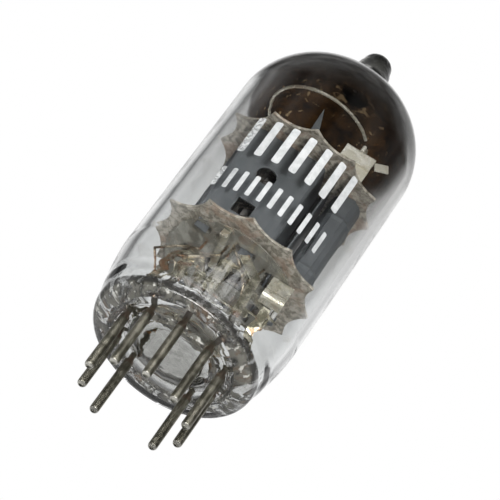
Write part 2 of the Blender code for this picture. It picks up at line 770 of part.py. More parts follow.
def make_divider(kit):
    """The screen plate that stands between the pentode and the triode."""
    metal = finish("divider_plate", DARK_CARBON, 0.5, 0.4)
    low, high = sheet_bottom(), sheet_top()
    foot, head = low - TAB_DROP, high + MICA_THICKNESS + TAB_RISE
    half, offset, tab = DIVIDER_HALF_DEPTH, DIVIDER_TAB_OFFSET, DIVIDER_TAB_WIDTH / 2
    lower = [(-half, low)]
    upper = [(half, high)]
    for side in (-1, 1):
        middle = side * offset
        lower += [(middle - tab, low), (middle - tab, foot), (middle + tab, foot), (middle + tab, low)]
        middle = -side * offset
        upper += [(middle + tab, high), (middle + tab, head), (middle - tab, head), (middle - tab, high)]
    outline = lower + [(half, low)] + upper + [(-half, high)]
    item = kit.add("divider_plate", flat_curve("divider_plate", [outline], DIVIDER_SHEET), metal)
    item.rotation_euler = (math.pi / 2, 0.0, math.pi / 2)
    item.location = (DIVIDER_X, 0.0, 0.0)


def shield_top():
    return LOWER_MICA - SHIELD_DROP + SHIELD_SHEET


def make_shield(kit):
    """The screening disc under the lower mica, open round every lead."""
    metal = finish("shield_disc", NICKEL, 0.4, 0.9)
    bottom, top = LOWER_MICA - SHIELD_DROP, shield_top()
    mesh = rod_mesh("shield_disc", SHIELD_RADIUS, (0.0, 0.0), bottom, top, 48)
    item = kit.add("shield_disc", mesh, metal)
    deep = 10 * SHIELD_SHEET
    middle = (bottom + top) / 2
    reach = SUPPRESSOR_SPAN + SUPPRESSOR_ROD + SHIELD_CLEARANCE
    slot_width = 2 * (SCREEN_ROD + SHIELD_CLEARANCE + PENTODE_SLEEVE_HALF_DEPTH)
    slot = box_mesh("shield_slot", (2 * reach, slot_width, deep), (PENTODE_X, 0.0, middle))
    cut(item, kit.add_cutter("shield_slot", slot))
    width = BULB_RADIUS
    beyond = (SHIELD_CUT_X + width / 2, 0.0, middle)
    side = box_mesh("shield_side", (width, 2 * SHIELD_CUT_HALF, deep), beyond)
    cut(item, kit.add_cutter("shield_side", side))
    for index, (centre, across, along) in enumerate(tab_places()):
        if centre[0] < SHIELD_CUT_X:
            size = (across + 2 * SHIELD_CLEARANCE, along + 2 * SHIELD_CLEARANCE, deep)
            gap = box_mesh("shield_gap_%d" % index, size, (*centre, middle))
            cut(item, kit.add_cutter("shield_gap_%d" % index, gap))


def make_getter(kit):
    """The getter's open ring above the upper mica."""
    metal = finish("getter_ring", NICKEL, 0.3, 1.0)
    points = []
    start, end = GETTER_START + GETTER_OPENING / 2, GETTER_START + 360.0 - GETTER_OPENING / 2
    steps = 30
    for index in range(steps + 1):
        angle = math.radians(start + (end - start) * index / steps)
        x = GETTER_X + GETTER_RADIUS * math.cos(angle)
        y = GETTER_Y + GETTER_RADIUS * math.sin(angle)
        points.append((x, y, GETTER_HEIGHT))
    kit.add("getter_ring", wire_curve("getter_ring", points, GETTER_WIRE, resolution=1), metal)


def strap(kit, name, path, width, surface):
    """A bent strip: a path swept along its width."""
    form = bmesh.new()
    shift = Vector(width)
    verts = [form.verts.new(Vector(p) - shift / 2) for p in path]
    edges = [form.edges.new(pair) for pair in zip(verts, verts[1:])]
    made = bmesh.ops.extrude_edge_only(form, edges=edges)["geom"]
    moved = [g for g in made if isinstance(g, bmesh.types.BMVert)]
    bmesh.ops.translate(form, vec=shift, verts=moved)
    bmesh.ops.recalc_face_normals(form, faces=form.faces)
    mesh = bpy.data.meshes.new(name)
    form.to_mesh(mesh)
    form.free()
    smooth(mesh)
    item = kit.add(name, mesh, surface)
    thicken(item, STRAP_SHEET)


def make_top_straps(kit):
    """The folded box that carries the getter ring, its post, and the pointed lug."""
    metal = finish("getter_strap", NICKEL, 0.25, 1.0)
    seat = UPPER_MICA + MICA_THICKNESS + SEAT_GAP + STRAP_SHEET / 2
    low, high = seat + BOX_BASE, seat + BOX_BASE + BOX_HEIGHT
    back, front = BOX_Y + BOX_DEPTH, BOX_Y - BOX_BULGE
    roof = high + BOX_BULGE
    path = [(BOX_X, back, seat), (BOX_X, BOX_Y, seat), (BOX_X, BOX_Y, low), (BOX_X, front, low),
            (BOX_X, front, high), (BOX_X, BOX_Y, roof), (BOX_X, back, roof)]
    strap(kit, "getter_strap", path, (BOX_WIDTH, 0.0, 0.0), metal)
    root = Vector((BOX_X + BOX_WIDTH / 2 - BOX_TAB_WIDTH[0] / 2 + SEAT_GAP, front, high - BOX_HEIGHT / 2))
    strap(kit, "getter_tab", [root, root + Vector(BOX_TAB_REACH)], BOX_TAB_WIDTH, metal)

    turned = math.radians(GETTER_START)
    x = GETTER_X + GETTER_RADIUS * math.cos(turned)
    y = GETTER_Y + GETTER_RADIUS * math.sin(turned)
    foot = roof + STRAP_SHEET / 2 + SEAT_GAP + LEAD_WIRE
    under = GETTER_HEIGHT - GETTER_WIRE - SEAT_GAP
    lying = [(BOX_X, BOX_Y + BOX_DEPTH / 4, foot), (BOX_X, back, foot)]
    standing = [(x, y, (foot + under) / 2), (x, y, under)]
    lead(kit, "getter_post", lying + standing, metal)

    carbon = finish("centre_lug", DARK_CARBON, 0.55, 0.3)
    base, half = seat - STRAP_SHEET / 2, LUG_WIDTH / 2
    outline = [(LUG_X - half, base), (LUG_X + half, base), (LUG_X + LUG_LEAN, base + LUG_HEIGHT)]
    item = kit.add("centre_lug", flat_curve("centre_lug", [outline], ANODE_SHEET), carbon)
    item.rotation_euler = (math.pi / 2, 0.0, 0.0)
    item.location = (0.0, -ANODE_DEPTH - ANODE_SHEET - SEAT_GAP, 0.0)


def lead(kit, name, points, surface):
    """A round wire through the given points."""
    kit.add(name, wire_curve(name, smooth_path(points, 3), LEAD_WIRE, resolution=1), surface)


def above(number, rise):
    """A point over the top of a pin's inner lead."""
    x, y = pin_centre(number)
    return Vector((x, y, PIN_LEAD_TOP + LEAD_GAP + rise))


def between(first, last, share, across=0.0, rise=0.0):
    """A point part of the way from one to another, moved across and up."""
    return Vector(first).lerp(Vector(last), share) + Vector((0.0, across, rise))


def make_wire_leads(kit, bright):
    """Round wires from the rear pins and between the heaters."""
    beside = LEAD_WIRE + LEAD_GAP
    start, bend_top = above(1, 0.0), above(1, LEAD_RISE / 2)
    end = (TRIODE_X, TRIODE_HALF_DEPTH + ANODE_SHEET / 2 + beside, sheet_bottom() - TAB_DROP + LEAD_WIRE)
    stops = ((0.2, LEAD_RISE / 2), (0.6, LEAD_RISE / 4))
    outward = [between(start, end, share, LEAD_SWING, rise) for share, rise in stops]
    lead(kit, "triode_anode_lead", [start, bend_top] + outward + [end], bright)

    start, bend_top = above(2, 0.0), above(2, LEAD_RISE)
    end = (PENTODE_X - CONTROL_SPAN, CONTROL_ROD + beside, GRID_BOTTOM + LEAD_WIRE)
    crest = between(start, end, 0.5, 0.0, LEAD_RISE / 2)
    lead(kit, "control_grid_lead", [start, bend_top, crest, end], bright)

    start, bend_top = above(8, 0.0), above(8, LEAD_RISE)
    end = (TRIODE_X, TRIODE_SLEEVE_RADIUS + beside, SLEEVE_BOTTOM + LEAD_WIRE)
    lead(kit, "triode_cathode_lead", [start, bend_top, between(start, end, 0.7), end], bright)

    start, bend_top = above(9, 0.0), above(9, LEAD_RISE)
    end = (TRIODE_X, TRIODE_GRID_SPAN + TRIODE_GRID_ROD + beside, GRID_BOTTOM + LEAD_WIRE)
    lead(kit, "triode_grid_lead", [start, bend_top, between(start, end, 0.6), end], bright)

    radius, offset = heater_reach(PENTODE_SLEEVE_HALF_WIDTH, PENTODE_SLEEVE_HALF_DEPTH)
    start = (PENTODE_X + offset, radius + beside, HEATER_BOTTOM + LEAD_WIRE)
    radius, offset = heater_reach(TRIODE_SLEEVE_RADIUS, TRIODE_SLEEVE_RADIUS)
    end = (TRIODE_X - offset, radius + beside, HEATER_BOTTOM + LEAD_WIRE)
    sagging = [between(start, end, share, 2 * radius, -LEAD_WIRE) for share in (0.25, 0.75)]
    lead(kit, "heater_link", [start] + sagging + [end], bright)


def ribbon(kit, name, number, end, bends, width, surface):
    """A strip that laps the front of a pin's inner lead and runs through its bends to an end.

    bends lists (share of the way, rise as a share of the ribbons' rise).
    """
    x, y = pin_centre(number)
    front = y - PIN_LEAD_RADIUS - LEAD_GAP - STRAP_SHEET / 2
    foot, knee = Vector((x, front, PIN_LEAD_TOP - RIBBON_LAP)), Vector((x, front, PIN_LEAD_TOP))
    turns = [between(knee, end, share, 0.0, lift * RIBBON_RISE) for share, lift in bends]
    strap(kit, name, [foot, knee] + smooth_path(turns + [Vector(end)], 3), width, surface)


def make_ribbons(kit, bright):
    """Flat strips from the front pins, and the cathode's strap under the shield."""
    hang = SEAT_GAP + STRAP_SHEET / 2
    end = (PENTODE_X - SCREEN_SPAN, 0.0, GRID_BOTTOM - hang)
    ribbon(kit, "screen_grid_lead", 3, end, [(0.1, 0.95), (0.4, 0.9)], SCREEN_RIBBON, bright)

    radius, offset = heater_reach(PENTODE_SLEEVE_HALF_WIDTH, PENTODE_SLEEVE_HALF_DEPTH)
    end = (PENTODE_X - offset, -radius, HEATER_BOTTOM - hang)
    ribbon(kit, "heater_lead_a", 4, end, [(0.05, 0.85), (0.3, 0.95)], HEATER_RIBBON_A, bright)

    radius, offset = heater_reach(TRIODE_SLEEVE_RADIUS, TRIODE_SLEEVE_RADIUS)
    end = (TRIODE_X + offset, -radius, HEATER_BOTTOM - hang)
    ribbon(kit, "heater_lead_b", 5, end, [(0.02, 0.95), (0.2, 1.1), (0.6, 0.45)], HEATER_RIBBON_B, bright)

    front = -ANODE_DEPTH - ANODE_SHEET / 2 - LEAD_GAP - STRAP_SHEET / 2
    end = (PENTODE_X + ANODE_TAB_OFFSET, front, sheet_bottom() - TAB_DROP)
    ribbon(kit, "pentode_anode_lead", 6, end, [(0.1, 1.1)], ANODE_RIBBON, bright)

    shield = LOWER_MICA - SHIELD_DROP - hang
    sleeve = SLEEVE_BOTTOM - hang
    wall = SLEEVE_WALL / 2 - PENTODE_SLEEVE_HALF_DEPTH
    edge = -0.9 * SHIELD_RADIUS
    path = [(PENTODE_X, wall, sleeve), (PENTODE_X, wall - RIBBON_LAP / 2, sleeve),
            (PENTODE_X, wall - RIBBON_LAP * 2, shield), (PENTODE_X, edge, shield),
            (PENTODE_X, edge - BOX_BULGE, shield - RIBBON_LAP)]
    strap(kit, "cathode_strap", path, CATHODE_RIBBON, bright)


def make_shield_strap(kit, bright):
    """The wide bulging strap under the shield disc, and the ribbon from it down to its pin."""
    wide = finish("shield_strap", NICKEL, 0.2, 1.0)
    x, y = pin_centre(7)
    hook = LOWER_MICA - SHIELD_DROP - SEAT_GAP
    drop = hook - PIN_LEAD_TOP
    reach = SHIELD_STRAP_REACH
    bends = [(1.0, 0.0), (1.0, 0.23), (1.15, 0.3), (1.12, 0.42), (0.8, 0.5)]
    path = smooth_path([(x, y - share * reach, hook - level * drop) for share, level in bends], 3)
    strap(kit, "shield_strap", path, SHIELD_STRAP, wide)
    end = path[-1] - Vector((0.0, 0.0, LEAD_GAP + STRAP_SHEET))
    ribbon(kit, "shield_lead", 7, end, [(0.2, 0.1)], SHIELD_RIBBON, bright)


def make_leads(kit):
    """Everything that joins the pins' inner leads to the electrodes."""
    bright = finish("lead", NICKEL, 0.25, 1.0)
    make_wire_leads(kit, bright)
    make_ribbons(kit, bright)
    make_shield_strap(kit, bright)


def main():
    clear_scene()
    kit = Kit()
    make_bulb(kit)
    holes = make_pins(kit)
    make_stem(kit, holes)
    make_film(kit)
    make_micas(kit)
    make_pentode_anode(kit)
    make_triode_anode(kit)
    make_systems(kit)
    make_divider(kit)
    make_shield(kit)
    make_getter(kit)
    make_top_straps(kit)
    make_leads(kit)


main()
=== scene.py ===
"""Looks of the nine-pin miniature vacuum tube: glass, getter mirror, mica, sheet metal and pins.

The row frame is the CAD's: the tube stands on its pins, the base's flat underside is at
z = 0 and the pins reach down to the floor. Every size is in metres.
"""

import math

import bmesh
import bpy
from mathutils import Matrix, Vector, noise


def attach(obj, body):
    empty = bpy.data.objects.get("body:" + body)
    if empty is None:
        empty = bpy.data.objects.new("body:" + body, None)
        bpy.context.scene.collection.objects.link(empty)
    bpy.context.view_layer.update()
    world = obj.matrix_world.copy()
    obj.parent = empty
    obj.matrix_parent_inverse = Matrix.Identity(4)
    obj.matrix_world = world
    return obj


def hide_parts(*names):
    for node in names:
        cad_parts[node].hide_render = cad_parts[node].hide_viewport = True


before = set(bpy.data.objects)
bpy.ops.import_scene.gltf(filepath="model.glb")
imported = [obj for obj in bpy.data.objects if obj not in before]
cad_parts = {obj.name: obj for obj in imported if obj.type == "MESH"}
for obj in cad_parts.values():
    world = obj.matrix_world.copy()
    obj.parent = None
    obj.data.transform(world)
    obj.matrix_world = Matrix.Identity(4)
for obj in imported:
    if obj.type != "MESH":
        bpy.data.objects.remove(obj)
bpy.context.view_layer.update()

MM = 0.001

# The glass, as the CAD solids have it
BULB_RADIUS = 10.45 * MM
BULB_WALL = 0.9 * MM
DOME_START = 34.0 * MM
DOME_RISE = 9.3 * MM
FLARE_TOP = 9.0 * MM
FLARE_POWER = 1.6
SEAL_RADIUS = 9.38 * MM
SEAL_HEIGHT = 2.0 * MM
TIP_TOP = 48.7 * MM
TIP_RADIUS = 1.75 * MM
TIP_ROUNDING = 1.4 * MM
TIP_FILLET_TOP = 46.6 * MM
TIP_FILLET_REACH = 4.8 * MM
TIP_WIDENING = 0.25 * MM
TIP_CAVITY_TOP = 46.0 * MM
TIP_CAVITY_RADIUS = 0.9 * MM
TIP_MOUTH_RADIUS = 2.0 * MM
STEM_FACE_RADIUS = 7.7 * MM
STEM_DISC_THICKNESS = 1.6 * MM
STEM_RIDGE_HEIGHT = 3.4 * MM
STEM_RIDGE_WIDTH = 2.6 * MM
STEM_CORNER_REACH = 0.2 * MM

# Below this height the inner skin has the rougher look of pressed glass
PRESSED_TOP = 3.3 * MM

# The uneven glass round the seal: how high and how far in it reaches, and how much it wavers
WAVER_TOP = 5.2 * MM
WAVER_FADE = 3.0 * MM
WAVER_INNER = 4.5 * MM
WAVER_ACROSS = 0.10 * MM
WAVER_UP = 0.16 * MM
# Its pattern: change with height per metre, size of the main, fine and upward waves, share of the fine
WAVER_RISE = 60.0
WAVER_SIZE = 2.6
WAVER_FINE_SIZE = 2.2
WAVER_UP_SIZE = 1.5
WAVER_FINE_SHARE = 0.4

# Pins
PIN_PLACES = 10
PIN_COUNT = 9
PIN_CIRCLE_RADIUS = 5.945 * MM
PIN_RADIUS = 0.508 * MM
PIN_LENGTH = 7.0 * MM
PIN_TIP_ROUNDING = 0.45 * MM
PIN_SHOULDER = 1.2 * MM
PIN_SHOULDER_SLOPE = 0.1 * MM
PIN_LEAD_RADIUS = 0.32 * MM
PIN_LEAD_TOP = 6.2 * MM

# Weld spots on the pins: the last three are their unevenness, its grain and its shift from pin to pin
WELD_RADIUS = 0.46 * MM
WELD_HEIGHT = 5.7 * MM
WELD_UNEVENNESS = 0.25
WELD_GRAIN = 1.4
WELD_SHIFT = 3.1

# Fine wires under the lower mica: the points in millimetres that each one runs through, from its pin up
TIE_RADIUS = 0.13 * MM
TIE_SIDES = 10
TIE_ROUTES = (
    ((-5.4, -2.0, 6.0), (-7.2, -3.0, 8.6), (-5.2, -3.4, 10.2), (-3.4, -3.2, 11.3), (-3.3, -3.2, 12.9)),
    ((-3.5, -4.8, 6.0), (-5.0, -5.0, 7.5), (-2.6, -5.6, 8.8), (-1.2, -5.0, 10.6), (-1.0, -4.6, 12.9)),
    ((0.0, -5.7, 6.0), (-0.7, -6.2, 8.2), (-0.4, -5.0, 10.0), (-0.6, -4.5, 12.9)),
    ((3.3, -4.7, 6.0), (2.9, -5.0, 8.2), (1.7, -5.2, 10.2), (0.2, -5.3, 11.6), (-0.9, -5.0, 12.9)),
    ((3.6, -4.9, 6.0), (2.5, -5.4, 8.9), (3.0, -4.6, 11.0), (3.3, -4.2, 12.9)),
)

# Getter film
FILM_EDGE = 33.8 * MM
FILM_BITE = 0.02 * MM
FILM_THICKNESS = 0.05 * MM

# Stain in the seal
STAIN_INNER = 4.4 * MM
STAIN_TOP = 5.0 * MM
STAIN_BITE = 0.015 * MM

# Rows of upright bars: middle height, bar height, bar width, number, first and last azimuth in degrees
UPPER_BARS = (23.1 * MM, 5.3 * MM, 0.85 * MM, 7, 239.0, 305.0)
LOWER_BARS = (16.5 * MM, 2.9 * MM, 0.52 * MM, 11, 237.5, 309.5)
BAR_ROUNDING = 0.28
PAINT_LIFT = 0.004 * MM
PAINT_THICKNESS = 0.02 * MM

# Faces round the spun pieces, and pieces along the curves of their profiles
GLASS_SIDES = 144
FILM_SIDES = 96
PIN_SIDES = 28
END_PIECES = 8
FILLET_PIECES = 12
DOME_PIECES = 26
CORNER_PIECES = 14
FLARE_PIECES = 16
RIDGE_PIECES = 7
STEM_CORNER_PIECES = 6
DOME_INSIDE_PIECES = 24
FILM_DOME_PIECES = 22
THROAT_PIECES = 6
BORE_PIECES = 5
PIN_TIP_PIECES = 7

# Colours, each as red, green and blue
GLASS_TINT = (0.85, 0.86, 0.86)
# Grey laid into the glass as painted shade near the mirror, heavier at its right, and also round the foot
CLEAR_SHADE_GREY = (0.58, 0.58, 0.57)
PRESSED_SHADE_GREY = (0.62, 0.62, 0.60)
DISC_COLOURS = ((0.33, 0.33, 0.31), (0.46, 0.46, 0.44))
# Painted highlight and painted shade of the tip's glass, left and right
TIP_HIGHLIGHT_AND_SHADE = ((0.95, 0.95, 0.94), (0.04, 0.04, 0.035))
GLASS_SHADOW = (0.93, 0.93, 0.93)
# Painted shade inside the narrow bore of the tip
HOLE_SHADE = (0.003, 0.003, 0.002)
# Painted highlight up the left of the tip's bore
NECK_HIGHLIGHT = (0.80, 0.80, 0.78)
STAIN_COLOURS = ((0.018, 0.017, 0.013), (0.17, 0.165, 0.14))
STAIN_RUST = (0.13, 0.078, 0.040)
STAIN_WHITE = (0.75, 0.74, 0.69)
# Painted shade: the dark line round the seal's rim
STAIN_RIM_SHADE = (0.035, 0.033, 0.030)
MICA_COLOURS = ((0.22, 0.20, 0.16), (0.62, 0.575, 0.49))
MICA_RUST = (0.42, 0.28, 0.20)
CARBON_COLOURS = ((0.088, 0.096, 0.102), (0.135, 0.143, 0.148))
CARBON_WORN = (0.24, 0.22, 0.20)
HEAT_BROWN = (0.36, 0.17, 0.08)
PIN_COLOURS = ((0.22, 0.21, 0.165), (0.46, 0.44, 0.36))
PIN_DRAWN = (0.09, 0.083, 0.062)
PIN_TIP_BRIGHT = (0.66, 0.65, 0.60)
PIN_BURIED = (0.27, 0.20, 0.15)
PIN_INNER = (0.22, 0.205, 0.165)
WELD_COLOURS = ((0.52, 0.27, 0.12), (0.20, 0.13, 0.09))
PAINT_COLOURS = ((0.36, 0.37, 0.37), (0.47, 0.48, 0.48))
WHITE = (1.0, 1.0, 1.0)

# Glass: tint, grey of its painted shade near the mirror (also laid round the foot), scale of the noise in
# its waves and their depth
CLEAR_GLASS = (GLASS_TINT, CLEAR_SHADE_GREY, 160.0, 0.02 * MM)
PRESSED_GLASS = (GLASS_TINT, PRESSED_SHADE_GREY, 620.0, 0.09 * MM)
# The rings round its foot, as noise that is drawn out round the axis, and the lumps of its tip
RING_STRETCH = (0.12, 0.12, 1.0)
RING_SIZE = 520.0
RING_DEPTH = 0.13 * MM
MELT_DEPTH = 0.06 * MM

# Film: dark, light and painted glint colours, roughness, metallic
FILM_MIRROR = ((0.010, 0.009, 0.008), (0.020, 0.017, 0.014), (0.03, 0.026, 0.02), 0.2, 0.2)
FILM_BROWN = ((0.120, 0.060, 0.020), (0.022, 0.012, 0.006), (0.50, 0.36, 0.20), 0.2, 0.7)

# Nickel: bright and dull colours, lowest and highest roughness, share of heat tint, metallic, buckle depth
BRIGHT_NICKEL = ((0.90, 0.87, 0.76), (0.60, 0.57, 0.46), 0.14, 0.28, 0.3, 0.7, 0.15 * MM)
GETTER_NICKEL = ((0.95, 0.92, 0.82), (0.70, 0.67, 0.56), 0.2, 0.35, 0.2, 0.3, 0.1 * MM)
DULL_NICKEL = ((0.40, 0.39, 0.34), (0.27, 0.26, 0.22), 0.2, 0.38, 0.25, 0.6, 0.04 * MM)
RIBBON_NICKEL = ((0.90, 0.85, 0.68), (0.26, 0.24, 0.17), 0.08, 0.2, 0.8, 0.80, 0.06 * MM)
GRID_WIRE = ((0.55, 0.50, 0.44), (0.33, 0.30, 0.26), 0.25, 0.4, 0.3, 0.9, 0.0)
TIE_WIRE = ((0.86, 0.76, 0.60), (0.13, 0.095, 0.065), 0.1, 0.25, 0.9, 0.85, 0.0)
BUCKLE_SIZE = 480.0
ROLLED_DEPTH = 0.006 * MM

# Oxide coats: colour, shade, scale of the mottle
CATHODE_COAT = ((0.26, 0.25, 0.23), (0.16, 0.15, 0.14), 900.0)
HEATER_COAT = ((0.70, 0.70, 0.68), (0.45, 0.44, 0.42), 1400.0)

FLOOR_LEVEL = -PIN_LENGTH
FLOOR_HALF = 3.0

# Directions of the white sheet behind the tube and of the panel in front
BACKDROP_WAY = (-0.09, 0.80, 0.59)
FRONT_WAY = (0.10, -0.86, -0.50)

# Ramps of the surroundings: from and to a cosine or a noise level, and the strengths there
BACKDROP_GLOW = (0.82, 0.975, 0.0, 0.68)
ROOM_GLOW = (-0.4, 0.9, 0.05, 0.28)
ROOM_CLUTTER = (0.36, 0.64, 0.35, 1.5)
FRONT_GLOW = (0.35, 0.85, 0.0, 0.9)
FRONT_PATCHES = (0.47, 0.55, 0.1, 4.5)
FRONT_PANEL = (0.95, 0.985, 0.0, 3.4)
# Scales of their noise
CLUTTER_SIZE = 3.2
PATCH_SIZE = 6.5

# Soft bright strips that stand round the tube: azimuth, half width and the end of its soft edge, strength
RIGHT_STRIP = (45.0, 0.06, 0.34, 0.75)
LEFT_STRIP = (171.0, 0.08, 0.26, 0.24)
STRIP_FACING = (0.2, 0.6)

# A low bright bar in front: azimuth, lowest and highest sine of its elevation, softness, strength
FRONT_BAR = (262.0, -0.12, 0.04, 0.05, 12.0)
BAR_FACING = (0.75, 0.93)

# Lamps: direction from the tube's middle, distance, width, power in watts
FRONT_LAMP = ((0.24, -1.0, -0.54), 0.9, 0.07, 9.5)
TOP_LAMP = ((-0.3, -0.5, 0.8), 0.8, 0.5, 4.0)
TUBE_MIDDLE = Vector((0.0, 0.0, 0.02))

CAMERA_PLACE = Vector((0.026435, -0.226569, -0.148388))
CAMERA_WAY = Vector((-0.09228, 0.80426, 0.58707))
CAMERA_UP = Vector((-0.52695, -0.53970, 0.65654))
CAMERA_SENSOR = 36.0
CAMERA_LENS = 194.4
CAMERA_NEAR = 0.01
CAMERA_FAR = 20.0


# Node helpers

class Tree:
    """Adds nodes to one tree and joins their sockets."""

    def __init__(self, tree):
        self.tree = tree
        self.nodes = tree.nodes

    def add(self, kind, inputs=None, **settings):
        node = self.nodes.new(kind)
        for name, value in settings.items():
            setattr(node, name, value)
        for key, value in (inputs or {}).items():
            self.feed(node.inputs[key], value)
        return node

    def feed(self, socket, value):
        if isinstance(value, bpy.types.NodeSocket):
            self.tree.links.new(value, socket)
        else:
            socket.default_value = value

    def math(self, operation, a, b=0.0):
        return self.add("ShaderNodeMath", {0: a, 1: b}, operation=operation).outputs[0]

    def dot(self, a, b):
        """The cosine between two directions."""
        return self.add("ShaderNodeVectorMath", {0: a, 1: b}, operation="DOT_PRODUCT").outputs["Value"]

    def blend(self, share, a, b):
        """Mix two colours by a share. A colour is a socket or its red, green and blue."""
        node = self.add("ShaderNodeMix", {0: share}, data_type="RGBA")
        for socket, colour in ((node.inputs[6], a), (node.inputs[7], b)):
            self.feed(socket, opaque(colour) if isinstance(colour, tuple) else colour)
        return node.outputs[2]

    def ramp(self, value, low, high, out_low=0.0, out_high=1.0):
        """A smooth step from one level to another."""
        node = self.add("ShaderNodeMapRange", {0: value, 1: low, 2: high, 3: out_low, 4: out_high},
                        interpolation_type="SMOOTHSTEP")
        return node.outputs[0]

    def between(self, mask, low, high):
        """A level that runs from low to high where a mask runs from 0 to 1."""
        return self.ramp(mask, 0.0, 1.0, low, high)

    def place(self):
        """The point of the piece that is shaded, in its own metres."""
        return self.add("ShaderNodeTexCoord").outputs["Object"]

    def side(self):
        """That point's x, from the tube's left to its right."""
        return self.add("ShaderNodeSeparateXYZ", {0: self.place()}).outputs[0]

    def noise(self, place, size, detail, **more):
        """Noise at a place, as a share."""
        inputs = {"Vector": place, "Scale": size, "Detail": detail, **more}
        return self.add("ShaderNodeTexNoise", inputs).outputs["Fac"]

    def stretched(self, place, spread):
        """A place that is scaled along each axis, so that noise on it is drawn out."""
        return self.add("ShaderNodeVectorMath", {0: place, 1: spread}, operation="MULTIPLY").outputs[0]

    def mask(self, name, **inputs):
        """The mask that a shared effect gives."""
        node = self.add("ShaderNodeGroup", node_tree=bpy.data.node_groups[name])
        for key, value in inputs.items():
            self.feed(node.inputs[key.replace("_", " ")], value)
        return node.outputs["Mask"]


def opaque(colour):
    return (*colour, 1.0)


def effect(name, **inputs):
    """An empty shader group with number inputs and a mask: its tree, what it is given and its mask."""
    tree = bpy.data.node_groups.new(name, "ShaderNodeTree")
    for key, value in inputs.items():
        label = key.replace("_", " ")
        socket = tree.interface.new_socket(label, in_out="INPUT", socket_type="NodeSocketFloat")
        socket.default_value = value
    tree.interface.new_socket("Mask", in_out="OUTPUT", socket_type="NodeSocketFloat")
    kit = Tree(tree)
    return kit, kit.add("NodeGroupInput").outputs, kit.add("NodeGroupOutput").inputs["Mask"]


def make_effects():
    """The shared effects: cloudy mottle, drawn streaks, pits, a level along Z and a radius round it."""
    kit, given, out = effect("mottle", Size=300.0, Low=0.4, High=0.6, Warp=0.5)
    cloud = kit.noise(kit.place(), given["Size"], 5.0, Roughness=0.62, Distortion=given["Warp"])
    kit.feed(out, kit.ramp(cloud, given["Low"], given["High"]))

    kit, given, out = effect("streaks", Size=900.0, Along_Z=0.05, Low=0.35, High=0.7)
    spread = kit.add("ShaderNodeCombineXYZ", {0: 1.0, 1: 1.0, 2: given["Along Z"]})
    lines = kit.noise(kit.stretched(kit.place(), spread.outputs[0]), given["Size"], 3.0)
    kit.feed(out, kit.ramp(lines, given["Low"], given["High"]))

    kit, given, out = effect("pits", Size=2500.0, Spread=0.25)
    cells = kit.add("ShaderNodeTexVoronoi", {"Vector": kit.place(), "Scale": given["Size"]})
    kit.feed(out, kit.ramp(cells.outputs["Distance"], given["Spread"], 0.0))

    kit, given, out = effect("level", From=0.0, To=0.001, Waver=0.0, Size=400.0)
    place = kit.place()
    height = kit.add("ShaderNodeSeparateXYZ", {0: place}).outputs[2]
    cloud = kit.noise(place, given["Size"], 4.0)
    shift = kit.math("MULTIPLY", kit.math("SUBTRACT", cloud, 0.5), given["Waver"])
    kit.feed(out, kit.ramp(kit.math("ADD", height, shift), given["From"], given["To"]))

    kit, given, out = effect("radius", From=0.0, To=0.001)
    place = kit.add("ShaderNodeSeparateXYZ", {0: kit.place()})
    squares = [kit.math("MULTIPLY", place.outputs[axis], place.outputs[axis]) for axis in (0, 1)]
    distance = kit.math("SQRT", kit.math("ADD", *squares))
    kit.feed(out, kit.ramp(distance, given["From"], given["To"]))


def material(name, colour, roughness, metallic=0.0, **sockets):
    """A Principled material and the tree that its pattern goes into."""
    surface = bpy.data.materials.new(name)
    surface.use_nodes = True
    kit = Tree(surface.node_tree)
    shader = kit.nodes["Principled BSDF"]
    shader.inputs["Base Color"].default_value = opaque(colour)
    shader.inputs["Roughness"].default_value = roughness
    shader.inputs["Metallic"].default_value = metallic
    for label, value in sockets.items():
        shader.inputs[label.replace("_", " ")].default_value = value
    return surface, kit, shader


def relief(kit, shader, height, depth, strength=1.0):
    """Bump from a height, with the depth in metres of a height of 1."""
    bump = kit.add("ShaderNodeBump", {"Height": height, "Distance": depth, "Strength": strength})
    kit.feed(shader.inputs["Normal"], bump.outputs[0])


# Materials

